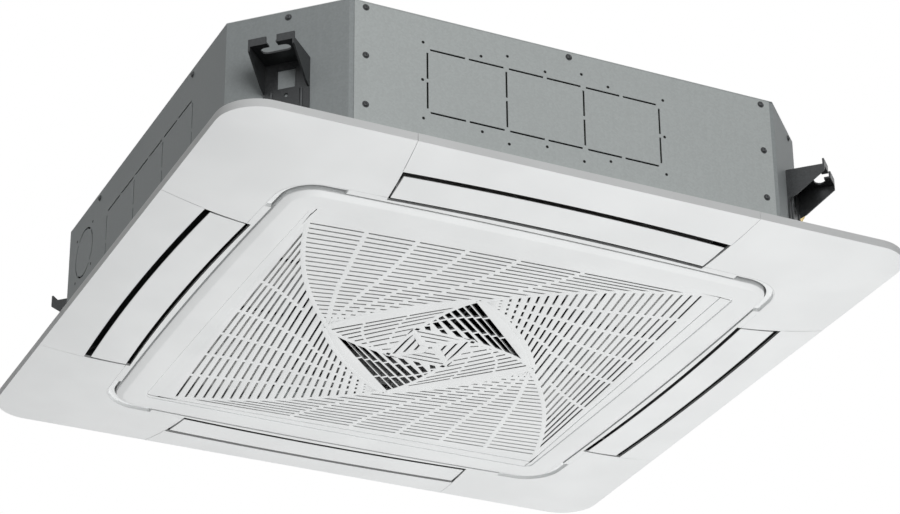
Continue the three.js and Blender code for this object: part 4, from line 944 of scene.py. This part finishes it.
def room_world():
    """White to the camera and to glossy and transmitted rays, and a weak even light to everything else."""
    world = bpy.data.worlds.new("room")
    world.use_nodes = True
    tree = world.node_tree
    path = tree.nodes.new("ShaderNodeLightPath")
    seen = path.outputs["Is Camera Ray"]
    for ray in ("Is Glossy Ray", "Is Transmission Ray"):
        either = tree.nodes.new("ShaderNodeMath")
        either.operation = "MAXIMUM"
        tree.links.new(seen, either.inputs[0])
        tree.links.new(path.outputs[ray], either.inputs[1])
        seen = either.outputs[0]
    strength = tree.nodes.new("ShaderNodeMapRange")
    tree.links.new(seen, strength.inputs["Value"])
    strength.inputs["To Min"].default_value = ROOM_LIGHT
    strength.inputs["To Max"].default_value = 1.0
    background = tree.nodes["Background"]
    tree.links.new(strength.outputs[0], background.inputs["Strength"])
    background.inputs["Color"].default_value = (1, 1, 1, 1)
    bpy.context.scene.world = world


room_world()
print("room light", ROOM_LIGHT)

# %% The lamps
def lamp(name, place, aim, size, power):
    """A round lamp, size metres across, that faces its aim and that the camera doesn't see."""
    data = bpy.data.lights.new(name, "AREA")
    data.shape, data.size, data.energy = "DISK", size, power
    made = bpy.data.objects.new(name, data)
    made.location = place
    made.rotation_euler = (Vector(place) - Vector(aim)).to_track_quat("Z", "Y").to_euler()
    made.visible_camera = False
    bpy.context.scene.collection.objects.link(made)


lamp("key", (0.7, -0.1, -2.9), (0, 0, 0.05), size=2.2, power=78)
lamp("side", (-0.9, -3.7, 0.3), (0, -0.2, 0.1), size=1.8, power=50)
print("lamps", len(bpy.data.lights))

# %% The floor
FLOOR_HALF, FLOOR_Z = 9, -3.5


def floor_finish():
    """Pale and matt from above; from below it lets the view through."""
    finish = Finish("floor", Roughness=0.9)
    finish.shader.inputs["Base Color"].default_value = (0.8, 0.8, 0.8, 1)
    tree = finish.tree
    clear = tree.nodes.new("ShaderNodeBsdfTransparent")
    mixer = tree.nodes.new("ShaderNodeMixShader")
    side = tree.nodes.new("ShaderNodeNewGeometry")
    tree.links.new(side.outputs["Backfacing"], mixer.inputs[0])
    tree.links.new(finish.shader.outputs[0], mixer.inputs[1])
    tree.links.new(clear.outputs[0], mixer.inputs[2])
    tree.links.new(mixer.outputs[0], tree.nodes["Material Output"].inputs[0])
    return finish


floor_mesh = bpy.data.meshes.new("floor")
around = [(-1, -1), (1, -1), (1, 1), (-1, 1)]
floor_mesh.from_pydata([(x * FLOOR_HALF, y * FLOOR_HALF, FLOOR_Z) for x, y in around], [], [(0, 1, 2, 3)])
floor = bpy.data.objects.new("floor", floor_mesh)
floor_mesh.materials.append(floor_finish().material)
bpy.context.scene.collection.objects.link(floor)
bpy.context.scene.view_settings.view_transform = "Standard"
print("floor at", FLOOR_Z, "m")
